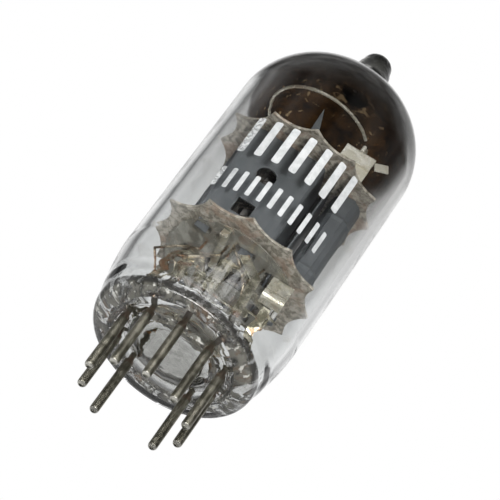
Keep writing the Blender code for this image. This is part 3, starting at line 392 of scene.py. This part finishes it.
def glass_material(name, tint, shade_grey, ripple, depth):
    """Glass that bends light and lets the lamps through.

    It carries painted shade near the mirror, heavier at the right, and is greyer round the foot. The
    middle of the stem is a mottled grey, and the tip has a painted highlight at its left and painted shade
    beside it.
    """
    surface, kit, shader = material(name, tint, 0.0, 0.0, IOR=1.52, Transmission_Weight=1.0)
    side = kit.side()
    # Painted shade: the glass greys from below the mirror upwards, more at its right (+X) side, and greys
    # round the foot too
    high = kit.mask("level", From=12.0 * MM, To=34.0 * MM, Waver=3.0 * MM, Size=90.0)
    right = kit.ramp(side, -10.0 * MM, 7.0 * MM, 0.45, 1.0)
    foot = kit.mask("level", From=3.4 * MM, To=1.2 * MM, Waver=0.6 * MM, Size=300.0)
    share = kit.math("MAXIMUM", kit.math("MULTIPLY", high, right), kit.math("MULTIPLY", foot, 0.45))
    shade_greyed = kit.blend(share, tint, shade_grey)
    scuffed = kit.mask("mottle", Size=900.0, Low=0.35, High=0.65, Warp=0.6)
    middle = kit.mask("radius", From=STAIN_INNER + 0.4 * MM, To=STAIN_INNER - 0.6 * MM)
    disc = kit.blend(scuffed, *DISC_COLOURS)
    floored = kit.blend(kit.math("MULTIPLY", middle, foot), shade_greyed, disc)
    tip = kit.mask("level", From=43.6 * MM, To=46.4 * MM, Waver=1.0 * MM, Size=400.0)
    # The tip's pale left is a painted highlight and its dark right is painted shade
    tip_highlight_and_shade = kit.blend(kit.ramp(side, -1.7 * MM, -1.1 * MM), *TIP_HIGHLIGHT_AND_SHADE)
    kit.feed(shader.inputs["Base Color"], kit.blend(tip, floored, tip_highlight_and_shade))
    glass_relief(kit, shader, tip, ripple, depth)
    clear = kit.add("ShaderNodeBsdfTransparent", {"Color": opaque(GLASS_SHADOW)})
    lamp = kit.add("ShaderNodeLightPath").outputs["Is Shadow Ray"]
    mixed = kit.add("ShaderNodeMixShader", {0: lamp, 1: shader.outputs[0], 2: clear.outputs[0]})
    kit.feed(kit.nodes["Material Output"].inputs["Surface"], mixed.outputs[0])
    return surface


def glass_relief(kit, shader, tip, ripple, depth):
    """Waves all over the glass, rings round its foot and the lumps of the melted tip."""
    wave = kit.noise(kit.place(), ripple, 2.0)
    rings = kit.noise(kit.stretched(kit.place(), RING_STRETCH), RING_SIZE, 0.0)
    collar = kit.mask("level", From=4.6 * MM, To=3.2 * MM, Waver=0.8 * MM, Size=200.0)
    melt = kit.mask("mottle", Size=700.0, Low=0.3, High=0.7, Warp=0.4)
    height = kit.math("MULTIPLY", wave, depth)
    for mark, where, size in ((rings, collar, RING_DEPTH), (melt, tip, MELT_DEPTH)):
        height = kit.math("ADD", height, kit.math("MULTIPLY", kit.math("MULTIPLY", mark, where), size))
    relief(kit, shader, height, 1.0)


# The fleck colour is the colour of the painted glints
def film_material(name, dark, light, fleck, roughness, metallic):
    """The getter mirror, cloudy and flecked, which thins out to nothing at its lower edge.

    Its flecks are painted glints that crowd round the mouth of the tip, whose bore has painted shade in
    black and a painted highlight at its left.
    """
    surface, kit, shader = material(name, dark, roughness, metallic)
    side = kit.side()
    cloud = kit.mask("mottle", Size=420.0, Low=0.38, High=0.68, Warp=1.2)
    shaded = kit.blend(cloud, dark, light)
    # Painted glints: small bright specks that stand in for light caught by the mirror, crowded round the
    # mouth of the tip
    scattered_glints = kit.mask("mottle", Size=1000.0, Low=0.62, High=0.66, Warp=0.15)
    mouth = kit.mask("radius", From=3.4 * MM, To=2.2 * MM)
    mouth_glints = kit.mask("mottle", Size=900.0, Low=0.53, High=0.58, Warp=0.2)
    painted_glints = kit.math("MAXIMUM", scattered_glints, kit.math("MULTIPLY", mouth, mouth_glints))
    # Painted shade: black inside the narrow bore of the tip
    hole_shade = kit.mask("radius", From=1.9 * MM, To=1.6 * MM)
    specked = kit.blend(hole_shade, kit.blend(painted_glints, shaded, fleck), HOLE_SHADE)
    # Painted highlight: a pale streak up the left side of the tip's bore
    neck = kit.mask("level", From=43.4 * MM, To=43.9 * MM, Waver=0.4 * MM, Size=700.0)
    neck_highlight = kit.math("MULTIPLY", neck, kit.ramp(side, -0.1 * MM, -0.5 * MM))
    kit.feed(shader.inputs["Base Color"], kit.blend(neck_highlight, specked, NECK_HIGHLIGHT))
    full = kit.ramp(side, -9.0 * MM, 3.0 * MM, 35.2 * MM, 38.2 * MM)
    fade = kit.mask("level", From=33.9 * MM, To=full, Waver=1.6 * MM, Size=260.0)
    kit.feed(shader.inputs["Alpha"], kit.math("POWER", fade, 0.8))
    relief(kit, shader, cloud, 0.01 * MM, 0.4)
    return surface


def stain_material():
    """Broken grey, brown and white deposits that let part of the view through, with a painted dark line of
    shade at the rim.
    """
    surface, kit, shader = material("seal_stain", (0.06, 0.055, 0.05), 0.4)
    cloud = kit.mask("mottle", Size=900.0, Low=0.44, High=0.58, Warp=0.4)
    rust = kit.mask("mottle", Size=380.0, Low=0.56, High=0.62, Warp=0.5)
    fleck = kit.mask("mottle", Size=1500.0, Low=0.57, High=0.61, Warp=0.3)
    cover = kit.mask("mottle", Size=900.0, Low=0.42, High=0.52, Warp=0.7)
    # Painted shade: a thin dark line round the rim of the seal, also made partly opaque
    rim = kit.mask("radius", From=8.15 * MM, To=8.35 * MM)
    base = kit.blend(cloud, *STAIN_COLOURS)
    warm = kit.blend(kit.math("MULTIPLY", rust, 0.7), base, STAIN_RUST)
    specked = kit.blend(fleck, warm, STAIN_WHITE)
    kit.feed(shader.inputs["Base Color"], kit.blend(rim, specked, STAIN_RIM_SHADE))
    wall = kit.mask("level", From=2.7 * MM, To=2.4 * MM, Waver=0.4 * MM, Size=500.0)
    kept = kit.math("MAXIMUM", kit.between(cover, 0.10, 0.88), kit.math("MULTIPLY", rim, 0.3))
    kit.feed(shader.inputs["Alpha"], kit.math("MULTIPLY", kept, wall))
    relief(kit, shader, cloud, 0.03 * MM, 0.7)
    return surface


def mica_material():
    """Cloudy, flaky mica with rusty patches, which lets a little of the view through."""
    surface, kit, shader = material("mica_sheet", (0.36, 0.32, 0.27), 0.3, IOR=1.58)
    cloud = kit.mask("mottle", Size=1500.0, Low=0.42, High=0.60, Warp=0.5)
    rust = kit.mask("mottle", Size=330.0, Low=0.50, High=0.62, Warp=0.8)
    flake = kit.mask("streaks", Size=2600.0, Along_Z=6.0, Low=0.3, High=0.7)
    base = kit.blend(cloud, *MICA_COLOURS)
    tinted = kit.blend(kit.math("MULTIPLY", rust, 0.5), base, MICA_RUST)
    kit.feed(shader.inputs["Base Color"], tinted)
    kit.feed(shader.inputs["Roughness"], kit.between(flake, 0.22, 0.42))
    kit.feed(shader.inputs["Alpha"], kit.between(cloud, 0.93, 0.78))
    relief(kit, shader, flake, 0.02 * MM, 0.6)
    return surface


def carbon_material():
    """Sheet steel with a smooth baked coat of carbon, worn in small spots."""
    surface, kit, shader = material("carbon_coat", (0.11, 0.12, 0.125), 0.5, 0.1)
    cloud = kit.mask("mottle", Size=180.0, Low=0.3, High=0.75, Warp=0.3)
    grain = kit.mask("pits", Size=9000.0, Spread=0.6)
    worn = kit.mask("mottle", Size=1500.0, Low=0.66, High=0.72, Warp=0.2)
    base = kit.blend(cloud, *CARBON_COLOURS)
    kit.feed(shader.inputs["Base Color"], kit.blend(kit.math("MULTIPLY", worn, 0.35), base, CARBON_WORN))
    kit.feed(shader.inputs["Roughness"], kit.between(cloud, 0.42, 0.58))
    relief(kit, shader, grain, 0.008 * MM, 0.5)
    return surface


def nickel_material(name, bright, dull, low, high, tint, metallic, crumple):
    """Rolled nickel with tarnish, a brown heat tint in patches and the buckles of hand bending."""
    surface, kit, shader = material(name, bright, low, metallic)
    cloud = kit.mask("mottle", Size=760.0, Low=0.40, High=0.56, Warp=0.8)
    heat = kit.mask("mottle", Size=330.0, Low=0.54, High=0.64, Warp=1.5)
    rolled = kit.mask("streaks", Size=3200.0, Along_Z=0.12, Low=0.25, High=0.75)
    base = kit.blend(cloud, bright, dull)
    kit.feed(shader.inputs["Base Color"], kit.blend(kit.math("MULTIPLY", heat, tint), base, HEAT_BROWN))
    kit.feed(shader.inputs["Roughness"], kit.between(cloud, low, high))
    buckles = kit.noise(kit.place(), BUCKLE_SIZE, 2.0)
    lines = kit.math("MULTIPLY", rolled, ROLLED_DEPTH)
    height = kit.math("ADD", lines, kit.math("MULTIPLY", buckles, crumple))
    relief(kit, shader, height, 1.0, 0.6)
    return surface


def pin_material():
    """Dull drawn pin wire, brighter and smoother at its tip and browned inside the glass."""
    surface, kit, shader = material("pin_wire", (0.2, 0.19, 0.16), 0.4, 1.0)
    cloud = kit.mask("mottle", Size=900.0, Low=0.35, High=0.7, Warp=0.4)
    drawn = kit.mask("streaks", Size=5200.0, Along_Z=0.03, Low=0.3, High=0.7)
    # A brighter, smoother band at the tip of the pin
    tip_band = kit.mask("level", From=-6.55 * MM, To=-6.85 * MM, Waver=0.35 * MM, Size=1500.0)
    buried = kit.mask("level", From=-0.15 * MM, To=0.25 * MM, Waver=0.5 * MM, Size=1200.0)
    inner = kit.mask("level", From=1.6 * MM, To=3.0 * MM, Waver=1.0 * MM, Size=900.0)
    base = kit.blend(cloud, *PIN_COLOURS)
    lined = kit.blend(kit.math("MULTIPLY", drawn, 0.35), base, PIN_DRAWN)
    tipped = kit.blend(tip_band, lined, PIN_TIP_BRIGHT)
    sealed = kit.blend(buried, tipped, PIN_BURIED)
    kit.feed(shader.inputs["Base Color"], kit.blend(inner, sealed, PIN_INNER))
    rough = kit.between(cloud, 0.34, 0.5)
    kit.feed(shader.inputs["Roughness"], kit.math("SUBTRACT", rough, kit.math("MULTIPLY", tip_band, 0.2)))
    relief(kit, shader, drawn, 0.01 * MM, 0.6)
    return surface


def oxide_material(name, colour, shade, size):
    """A matt, pitted coat of oxide."""
    surface, kit, shader = material(name, colour, 0.85)
    cloud = kit.mask("mottle", Size=size, Low=0.35, High=0.65, Warp=0.2)
    pits = kit.mask("pits", Size=8000.0, Spread=0.5)
    kit.feed(shader.inputs["Base Color"], kit.blend(cloud, colour, shade))
    relief(kit, shader, pits, 0.01 * MM, 0.8)
    return surface


def weld_material():
    """Metal browned by the heat of welding."""
    surface, kit, shader = material("weld_bead", (0.4, 0.22, 0.1), 0.3, 1.0)
    cloud = kit.mask("mottle", Size=1500.0, Low=0.4, High=0.6, Warp=0.6)
    kit.feed(shader.inputs["Base Color"], kit.blend(cloud, *WELD_COLOURS))
    relief(kit, shader, cloud, 0.02 * MM, 0.8)
    return surface


def paint_material():
    """White fired-on paint, thin and scratched at the left end of its rows."""
    surface, kit, shader = material("white_paint", (0.45, 0.46, 0.46), 0.6)
    cloud = kit.mask("mottle", Size=1200.0, Low=0.3, High=0.7, Warp=0.3)
    specks = kit.mask("mottle", Size=5200.0, Low=0.30, High=0.42, Warp=0.2)
    worn = kit.mask("mottle", Size=2100.0, Low=0.42, High=0.56, Warp=0.8)
    kept = kit.math("MAXIMUM", kit.ramp(kit.side(), -7.2 * MM, -3.2 * MM), worn)
    kit.feed(shader.inputs["Base Color"], kit.blend(cloud, *PAINT_COLOURS))
    kit.feed(shader.inputs["Alpha"], kit.math("MULTIPLY", kept, kit.between(specks, 0.72, 1.0)))
    relief(kit, shader, cloud, 0.01 * MM, 0.5)
    return surface


# Mesh helpers

def arc(centre, radii, start, end, pieces):
    """Points (r, z) along an elliptical arc, angles in degrees."""
    turn = [math.radians(start + (end - start) * i / pieces) for i in range(pieces + 1)]
    return [(centre[0] + radii[0] * math.cos(a), centre[1] + radii[1] * math.sin(a)) for a in turn]


def bend(first, control, last, pieces):
    """Points along a quadratic curve, without its first point."""
    points = []
    for i in range(1, pieces + 1):
        t = i / pieces
        ends = zip(first, control, last)
        points.append(tuple((1 - t) ** 2 * p + 2 * t * (1 - t) * q + t * t * r for p, q, r in ends))
    return points


def sideways(profile):
    """The direction across a profile at each of its points."""
    sides = []
    for before, after in zip([profile[0]] + profile[:-1], profile[1:] + [profile[-1]]):
        along = Vector((after[0] - before[0], after[1] - before[1])).normalized()
        sides.append((-along.y, along.x))
    return sides


def spin(form, profile, steps, closed=False, inwards=False):
    """Spin a profile of (radius, height) once round the Z axis into a closed skin."""
    verts = [form.verts.new((r, 0.0, z)) for r, z in profile]
    edges = [form.edges.new(pair) for pair in zip(verts, verts[1:])]
    if closed:
        edges.append(form.edges.new((verts[-1], verts[0])))
    before = set(form.faces)
    bmesh.ops.spin(form, geom=verts + edges, cent=(0, 0, 0), axis=(0, 0, 1), angle=2 * math.pi,
                   steps=steps, use_merge=True)
    made = [f for f in form.faces if f not in before]
    ring = list({v for f in made for v in f.verts})
    bmesh.ops.remove_doubles(form, verts=ring, dist=1e-8)
    made = [f for f in form.faces if f not in before]
    bmesh.ops.recalc_face_normals(form, faces=made)
    if inwards:
        bmesh.ops.reverse_faces(form, faces=made)
    return made


def stand(name, form, surfaces):
    """Turn a form into a mesh object in the scene."""
    mesh = bpy.data.meshes.new(name)
    form.to_mesh(mesh)
    form.free()
    for surface in surfaces:
        mesh.materials.append(surface)
    item = bpy.data.objects.new(name, mesh)
    bpy.context.scene.collection.objects.link(item)
    return item


def piece(name, form, surfaces, nodes=(), sharp=35.0):
    """A finished piece on the tube's one body, with creases at edges sharper than an angle in degrees."""
    item = stand(name, form, surfaces)
    item.data.shade_smooth()
    if sharp:
        item.data.set_sharp_from_angle(angle=math.radians(sharp))
    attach(item, "root")
    if nodes:
        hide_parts(*nodes)
    return item


# Glass and film

def flare(radius):
    """Down the flare, from where the wall is upright to the seal."""
    points = []
    for i in range(FLARE_PIECES + 1):
        height = FLARE_TOP + (SEAL_HEIGHT - FLARE_TOP) * i / FLARE_PIECES
        share = (FLARE_TOP - height) / (FLARE_TOP - SEAL_HEIGHT)
        points.append((radius - (BULB_RADIUS - SEAL_RADIUS) * max(share, 0.0) ** FLARE_POWER, height))
    return points


def outer_profile():
    """From the top of the tip over the dome and down the flare to the middle of the base."""
    centre = (TIP_RADIUS - TIP_ROUNDING, TIP_TOP - TIP_ROUNDING)
    end = arc(centre, (TIP_ROUNDING, TIP_ROUNDING), 90, 0, END_PIECES)
    root = (TIP_RADIUS + TIP_WIDENING, TIP_FILLET_TOP)
    share = TIP_FILLET_REACH / BULB_RADIUS
    foot = (TIP_FILLET_REACH, DOME_START + DOME_RISE * math.sqrt(1 - share ** 2))
    slope = DOME_RISE / BULB_RADIUS * share / math.sqrt(1 - share ** 2)
    knee = TIP_RADIUS + 3 * TIP_WIDENING
    corner = (knee, foot[1] + slope * (TIP_FILLET_REACH - knee))
    fillet = bend(root, corner, foot, FILLET_PIECES)
    start = math.degrees(math.acos(share))
    dome = arc((0.0, DOME_START), (BULB_RADIUS, DOME_RISE), start, 0, DOME_PIECES)[1:]
    rim = SEAL_RADIUS - STEM_FACE_RADIUS
    base = arc((STEM_FACE_RADIUS, SEAL_HEIGHT), (rim, SEAL_HEIGHT), 0, -90, CORNER_PIECES)[1:]
    return [(0.0, TIP_TOP)] + end + [root] + fillet + dome + flare(BULB_RADIUS) + base + [(0.0, 0.0)]


def dome_inside(gap, pieces):
    """Up the inside of the dome to the mouth of the tip, a gap away from the glass."""
    radius, rise = BULB_RADIUS - BULB_WALL, DOME_RISE - BULB_WALL
    mouth = math.degrees(math.acos(TIP_MOUTH_RADIUS / radius))
    return arc((0.0, DOME_START), (radius - gap, rise - gap), 0, mouth, pieces)


def tip_inside(gap):
    """From the mouth of the tip up its neck to the closed end of its bore."""
    mouth = dome_inside(gap, 1)[-1]
    bore = TIP_CAVITY_RADIUS - gap
    throat = (bore, TIP_CAVITY_TOP - 2 * TIP_CAVITY_RADIUS)
    neck = bend(mouth, (bore, mouth[1]), throat, THROAT_PIECES)
    return neck + arc((0.0, TIP_CAVITY_TOP - TIP_CAVITY_RADIUS), (bore, bore), 0, 90, BORE_PIECES)


def inner_profile():
    """From the middle of the stem's top over its ridge, up the wall and into the tip."""
    centre, half = PIN_CIRCLE_RADIUS, STEM_RIDGE_WIDTH / 2
    disc, ridge = STEM_DISC_THICKNESS, STEM_RIDGE_HEIGHT
    inner, crest, outer = (centre - half, disc), (centre, ridge), (centre + half, disc)
    stem = [(0.0, disc), (centre - 2 * half, disc), inner]
    stem += bend(inner, (centre - half / 2, ridge), crest, RIDGE_PIECES)
    stem += bend(crest, (centre + half / 2, ridge), outer, RIDGE_PIECES)
    wall = list(reversed(flare(BULB_RADIUS - BULB_WALL)))[2:]
    stem += bend(outer, (wall[0][0] - STEM_CORNER_REACH, disc), wall[0], STEM_CORNER_PIECES)
    return stem + wall[1:] + dome_inside(0.0, DOME_INSIDE_PIECES) + tip_inside(0.0)


def waver(faces):
    """Unsettle the inside of the glass round the seal, the same way for every skin there."""
    for vert in {v for f in faces for v in f.verts}:
        share = min(max((WAVER_TOP - vert.co.z) / WAVER_FADE, 0.0), 1.0)
        spoke = Vector((vert.co.x, vert.co.y, 0.0))
        if share > 0.0 and spoke.length > WAVER_INNER:
            spoke.normalize()
            place = Vector((spoke.x, spoke.y, vert.co.z * WAVER_RISE)) * WAVER_SIZE
            wave = noise.noise(place) + WAVER_FINE_SHARE * noise.noise(place * WAVER_FINE_SIZE)
            vert.co += spoke * wave * WAVER_ACROSS * share
            vert.co.z += noise.noise(place * WAVER_UP_SIZE) * WAVER_UP * share


def make_glass():
    """Bulb and pressed stem, which are melted into one piece of glass."""
    form = bmesh.new()
    spin(form, outer_profile(), GLASS_SIDES)
    inner = spin(form, inner_profile(), GLASS_SIDES, inwards=True)
    waver(inner)
    for face in inner:
        face.material_index = int(face.calc_center_median().z < PRESSED_TOP)
    looks = [glass_material("clear_glass", *CLEAR_GLASS), glass_material("pressed_glass", *PRESSED_GLASS)]
    piece("glass_envelope", form, looks, ["bulb", "stem_button"], sharp=0.0)


def make_seal_stain():
    """Oxide and soot in the seal, from the foot of the pins' ridge out to the wall."""
    profile = [p for p in inner_profile() if p[0] > STAIN_INNER and p[1] < STAIN_TOP]
    form = bmesh.new()
    layers = [[(r + side[0] * gap, z + side[1] * gap) for (r, z), side in zip(profile, sideways(profile))]
              for gap in (-STAIN_BITE, STAIN_BITE)]
    made = spin(form, layers[0] + list(reversed(layers[1])), GLASS_SIDES, closed=True)
    waver(made)
    piece("seal_stain", form, [stain_material()], sharp=60.0)


def make_film():
    """The mirror inside the dome, black towards the glass and brown towards the mount."""
    form = bmesh.new()
    layers = []
    for gap in (-FILM_BITE, FILM_THICKNESS - FILM_BITE):
        edge = (BULB_RADIUS - BULB_WALL - gap, FILM_EDGE)
        layers.append([edge] + dome_inside(gap, FILM_DOME_PIECES) + tip_inside(gap))
    made = spin(form, list(reversed(layers[0])) + layers[1], FILM_SIDES, closed=True)
    for face in made:
        centre = face.calc_center_median()
        spoke = Vector((centre.x, centre.y, centre.z - DOME_START))
        face.material_index = int(face.normal.dot(spoke) < 0.0)
    looks = [film_material("film_mirror", *FILM_MIRROR), film_material("film_brown", *FILM_BROWN)]
    piece("getter_mirror", form, looks, ["getter_film"], sharp=60.0)


# Pins and wires

def pin_centre(number):
    angle = math.pi / 2 + 2 * math.pi * number / PIN_PLACES
    return Vector((PIN_CIRCLE_RADIUS * math.cos(angle), PIN_CIRCLE_RADIUS * math.sin(angle), 0.0))


def make_pins(surface):
    """The nine pins, each with its thinner inner lead."""
    centre = (PIN_RADIUS - PIN_TIP_ROUNDING, PIN_TIP_ROUNDING - PIN_LENGTH)
    tip = arc(centre, (PIN_TIP_ROUNDING, PIN_TIP_ROUNDING), 0, -90, PIN_TIP_PIECES)
    lead = [(0.0, PIN_LEAD_TOP), (PIN_LEAD_RADIUS, PIN_LEAD_TOP), (PIN_LEAD_RADIUS, PIN_SHOULDER)]
    shank = [(PIN_RADIUS, PIN_SHOULDER - PIN_SHOULDER_SLOPE), (PIN_RADIUS, -PIN_LENGTH / 2)]
    for number in range(1, PIN_COUNT + 1):
        form = bmesh.new()
        spin(form, lead + shank + tip + [(0.0, -PIN_LENGTH)], PIN_SIDES)
        bmesh.ops.translate(form, vec=pin_centre(number), verts=form.verts)
        name = "pin_%d" % number
        piece("contact_%s" % name, form, [surface], [name], sharp=50.0)


def make_welds():
    """Heat-browned weld spots where the leads meet the tops of the pins."""
    form = bmesh.new()
    for number in range(1, PIN_COUNT + 1):
        made = bmesh.ops.create_icosphere(form, subdivisions=3, radius=WELD_RADIUS)["verts"]
        shift = Vector((number * WELD_SHIFT, 0.0, 0.0))
        for vert in made:
            vert.co *= 1.0 + WELD_UNEVENNESS * noise.noise(vert.co / WELD_RADIUS * WELD_GRAIN + shift)
        bmesh.ops.translate(form, vec=pin_centre(number) + Vector((0.0, 0.0, WELD_HEIGHT)), verts=made)
    piece("weld_spots", form, [weld_material()], sharp=0.0)


def make_tie_wires(surface):
    """Thin kinked wires from the tops of the front pins up to just under the lower mica."""
    form = bmesh.new()
    for route in TIE_ROUTES:
        points = [Vector(point) * MM for point in route]
        for start, end in zip(points, points[1:]):
            run = end - start
            turn = run.to_track_quat("Z", "Y").to_matrix().to_4x4()
            middle = Matrix.Translation((start + end) / 2)
            bmesh.ops.create_cone(form, cap_ends=True, segments=TIE_SIDES, radius1=TIE_RADIUS,
                                  radius2=TIE_RADIUS, depth=run.length + TIE_RADIUS, matrix=middle @ turn)
    piece("tie_wires", form, [surface])


# Painted marks

def make_bars(name, row, surface):
    """Plain white bars painted on the front of the glass."""
    middle, tall, wide, count, first, last = row
    form = bmesh.new()
    for index in range(count):
        before = set(form.verts)
        made = bmesh.ops.create_grid(form, x_segments=2, y_segments=4, size=0.5)["verts"]
        bmesh.ops.scale(form, vec=(wide, tall, 1.0), verts=made)
        corners = [v for v in made if len(v.link_edges) == 2]
        bmesh.ops.bevel(form, geom=corners, offset=wide * BAR_ROUNDING, segments=3, profile=0.5,
                        affect="VERTICES", material=-1)
        angle = math.radians(first + (last - first) * index / (count - 1))
        for vert in set(form.verts) - before:
            turn = angle + vert.co.x / BULB_RADIUS
            vert.co = (BULB_RADIUS * math.cos(turn), BULB_RADIUS * math.sin(turn), middle + vert.co.y)
    bmesh.ops.recalc_face_normals(form, faces=form.faces)
    for face in form.faces:
        centre = face.calc_center_median()
        if face.normal.dot(Vector((centre.x, centre.y, 0.0))) < 0.0:
            face.normal_flip()
    for vert in form.verts:
        vert.co += Vector((vert.co.x, vert.co.y, 0.0)).normalized() * PAINT_LIFT
    bmesh.ops.solidify(form, geom=list(form.faces), thickness=-PAINT_THICKNESS)
    piece(name, form, [surface], sharp=50.0)


# CAD nodes

def dress(names, surface):
    """Give CAD nodes a finished material."""
    for name in names:
        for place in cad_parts[name].material_slots:
            place.material = surface


def dress_nodes():
    """The CAD pieces that stay as they are, by what they are made of."""
    plates = ["pentode_anode_front", "pentode_anode_rear", "triode_anode", "divider_plate", "centre_lug"]
    grids = ["control_grid", "screen_grid", "suppressor_grid", "triode_grid"]
    straps = ["shield_strap", "getter_ring", "cathode_strap"]
    box = ["getter_strap", "getter_tab", "getter_post"]
    ribbons = [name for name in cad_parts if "_lead" in name or name == "heater_link"]
    dress(plates, carbon_material())
    dress(["lower_mica", "upper_mica"], mica_material())
    dress(straps, nickel_material("bright_nickel", *BRIGHT_NICKEL))
    dress(box, nickel_material("getter_nickel", *GETTER_NICKEL))
    dress(["shield_disc"], nickel_material("dull_nickel", *DULL_NICKEL))
    dress(ribbons, nickel_material("ribbon_nickel", *RIBBON_NICKEL))
    dress(grids, nickel_material("grid_wire", *GRID_WIRE))
    dress(["pentode_cathode", "triode_cathode"], oxide_material("cathode_coat", *CATHODE_COAT))
    dress(["pentode_heater", "triode_heater"], oxide_material("heater_coat", *HEATER_COAT))


# Stage

def make_floor():
    """A pale floor under the pins, which is clear from below and to the lamps."""
    surface, kit, shader = material("floor", (0.86, 0.86, 0.86), 0.9)
    under = kit.add("ShaderNodeNewGeometry").outputs["Backfacing"]
    lamp = kit.add("ShaderNodeLightPath").outputs["Is Shadow Ray"]
    clear = kit.add("ShaderNodeBsdfTransparent")
    mixed = kit.add("ShaderNodeMixShader", {0: kit.math("MAXIMUM", under, lamp), 1: shader.outputs[0],
                                            2: clear.outputs[0]})
    kit.feed(kit.nodes["Material Output"].inputs["Surface"], mixed.outputs[0])
    form = bmesh.new()
    bmesh.ops.create_grid(form, x_segments=1, y_segments=1, size=FLOOR_HALF)
    bmesh.ops.translate(form, vec=(0.0, 0.0, FLOOR_LEVEL), verts=form.verts)
    item = stand("floor", form, [surface])


def strip_glow(kit, way, strip):
    """The glow of an upright strip, from the direction that a ray looks in."""
    azimuth, half, edge, strength = strip
    angle = math.radians(azimuth)
    along = kit.dot(way, (math.cos(angle), math.sin(angle), 0.0))
    aside = kit.dot(way, (-math.sin(angle), math.cos(angle), 0.0))
    narrow = kit.ramp(kit.math("ABSOLUTE", aside), half, edge, 1.0, 0.0)
    return kit.math("MULTIPLY", narrow, kit.ramp(along, *STRIP_FACING, 0.0, strength))


def bar_glow(kit, way, bar):
    """The glow of a level bar, from the direction that a ray looks in."""
    azimuth, low, high, soft, strength = bar
    angle = math.radians(azimuth)
    along = kit.dot(way, (math.cos(angle), math.sin(angle), 0.0))
    rise = kit.add("ShaderNodeSeparateXYZ", {0: way}).outputs[2]
    over = kit.ramp(rise, low - soft, low)
    under = kit.ramp(rise, high, high + soft, 1.0, 0.0)
    facing = kit.ramp(along, *BAR_FACING, 0.0, strength)
    return kit.math("MULTIPLY", kit.math("MULTIPLY", over, under), facing)


def studio_glow(kit, way):
    """The studio: a white sheet behind, a dim uneven room, bright strips and a broken panel in front."""
    back = kit.dot(way, BACKDROP_WAY)
    sheet = kit.ramp(back, *BACKDROP_GLOW)
    clutter = kit.ramp(kit.noise(way, CLUTTER_SIZE, 3.0), *ROOM_CLUTTER)
    uneven = kit.math("MULTIPLY", kit.ramp(back, *ROOM_GLOW), clutter)
    front = kit.dot(way, FRONT_WAY)
    patches = kit.ramp(kit.noise(way, PATCH_SIZE, 2.0), *FRONT_PATCHES)
    strips = kit.math("ADD", strip_glow(kit, way, RIGHT_STRIP), strip_glow(kit, way, LEFT_STRIP))
    strips = kit.math("ADD", strips, bar_glow(kit, way, FRONT_BAR))
    strips = kit.math("ADD", strips, kit.math("MULTIPLY", kit.ramp(front, *FRONT_GLOW), patches))
    strips = kit.math("ADD", strips, kit.ramp(front, *FRONT_PANEL))
    return kit.math("ADD", kit.math("ADD", sheet, uneven), strips)


def make_world():
    """White for the camera, the studio for gloss and glass, and an even half light for the rest."""
    world = bpy.data.worlds.new("studio")
    bpy.context.scene.world = world
    world.use_nodes = True
    kit = Tree(world.node_tree)
    path = kit.add("ShaderNodeLightPath")
    way = kit.add("ShaderNodeTexCoord").outputs["Generated"]
    soft, studio, white = [kit.add("ShaderNodeBackground", {"Color": opaque(WHITE), "Strength": strength})
                           for strength in (0.5, studio_glow(kit, way), 1.0)]
    gloss = kit.math("MAXIMUM", path.outputs["Is Glossy Ray"], path.outputs["Is Transmission Ray"])
    lit = kit.add("ShaderNodeMixShader", {0: gloss, 1: soft.outputs[0], 2: studio.outputs[0]})
    seen = kit.add("ShaderNodeMixShader", {0: path.outputs["Is Camera Ray"], 1: lit.outputs[0],
                                           2: white.outputs[0]})
    kit.feed(kit.nodes["World Output"].inputs["Surface"], seen.outputs[0])


def add_lamp(name, direction, distance, width, power):
    """A soft square lamp that faces the tube's middle and isn't seen in the glass."""
    light = bpy.data.lights.new(name, "AREA")
    light.energy = power
    light.shape = "SQUARE"
    light.size = width
    item = bpy.data.objects.new(name, light)
    bpy.context.scene.collection.objects.link(item)
    way = Vector(direction).normalized()
    item.location = TUBE_MIDDLE + way * distance
    item.rotation_mode = "QUATERNION"
    item.rotation_quaternion = way.to_track_quat("Z", "Y")
    item.visible_camera = False
    item.visible_glossy = False
    item.visible_transmission = False


def make_camera():
    """The camera of the photo, which looks up at the tube from below its base."""
    data = bpy.data.cameras.new("camera")
    data.sensor_width = CAMERA_SENSOR
    data.lens = CAMERA_LENS
    data.clip_start = CAMERA_NEAR
    data.clip_end = CAMERA_FAR
    item = bpy.data.objects.new("camera", data)
    bpy.context.scene.collection.objects.link(item)
    side = CAMERA_WAY.cross(CAMERA_UP).normalized()
    up = side.cross(CAMERA_WAY).normalized()
    turn = Matrix((side, up, -CAMERA_WAY.normalized())).transposed()
    item.matrix_world = Matrix.Translation(CAMERA_PLACE) @ turn.to_4x4()
    bpy.context.scene.camera = item


def make_stage():
    make_floor()
    make_world()
    make_camera()
    add_lamp("front", *FRONT_LAMP)
    add_lamp("top", *TOP_LAMP)
    scene = bpy.context.scene
    scene.view_settings.view_transform = "Standard"
    scene.cycles.max_bounces = 24
    scene.cycles.transmission_bounces = 24
    scene.cycles.glossy_bounces = 8
    scene.cycles.transparent_max_bounces = 32


def main():
    make_effects()
    make_glass()
    make_seal_stain()
    make_film()
    make_pins(pin_material())
    make_welds()
    make_tie_wires(nickel_material("tie_wire", *TIE_WIRE))
    paint = paint_material()
    make_bars("upper_bars", UPPER_BARS, paint)
    make_bars("lower_bars", LOWER_BARS, paint)
    dress_nodes()
    make_stage()


main()
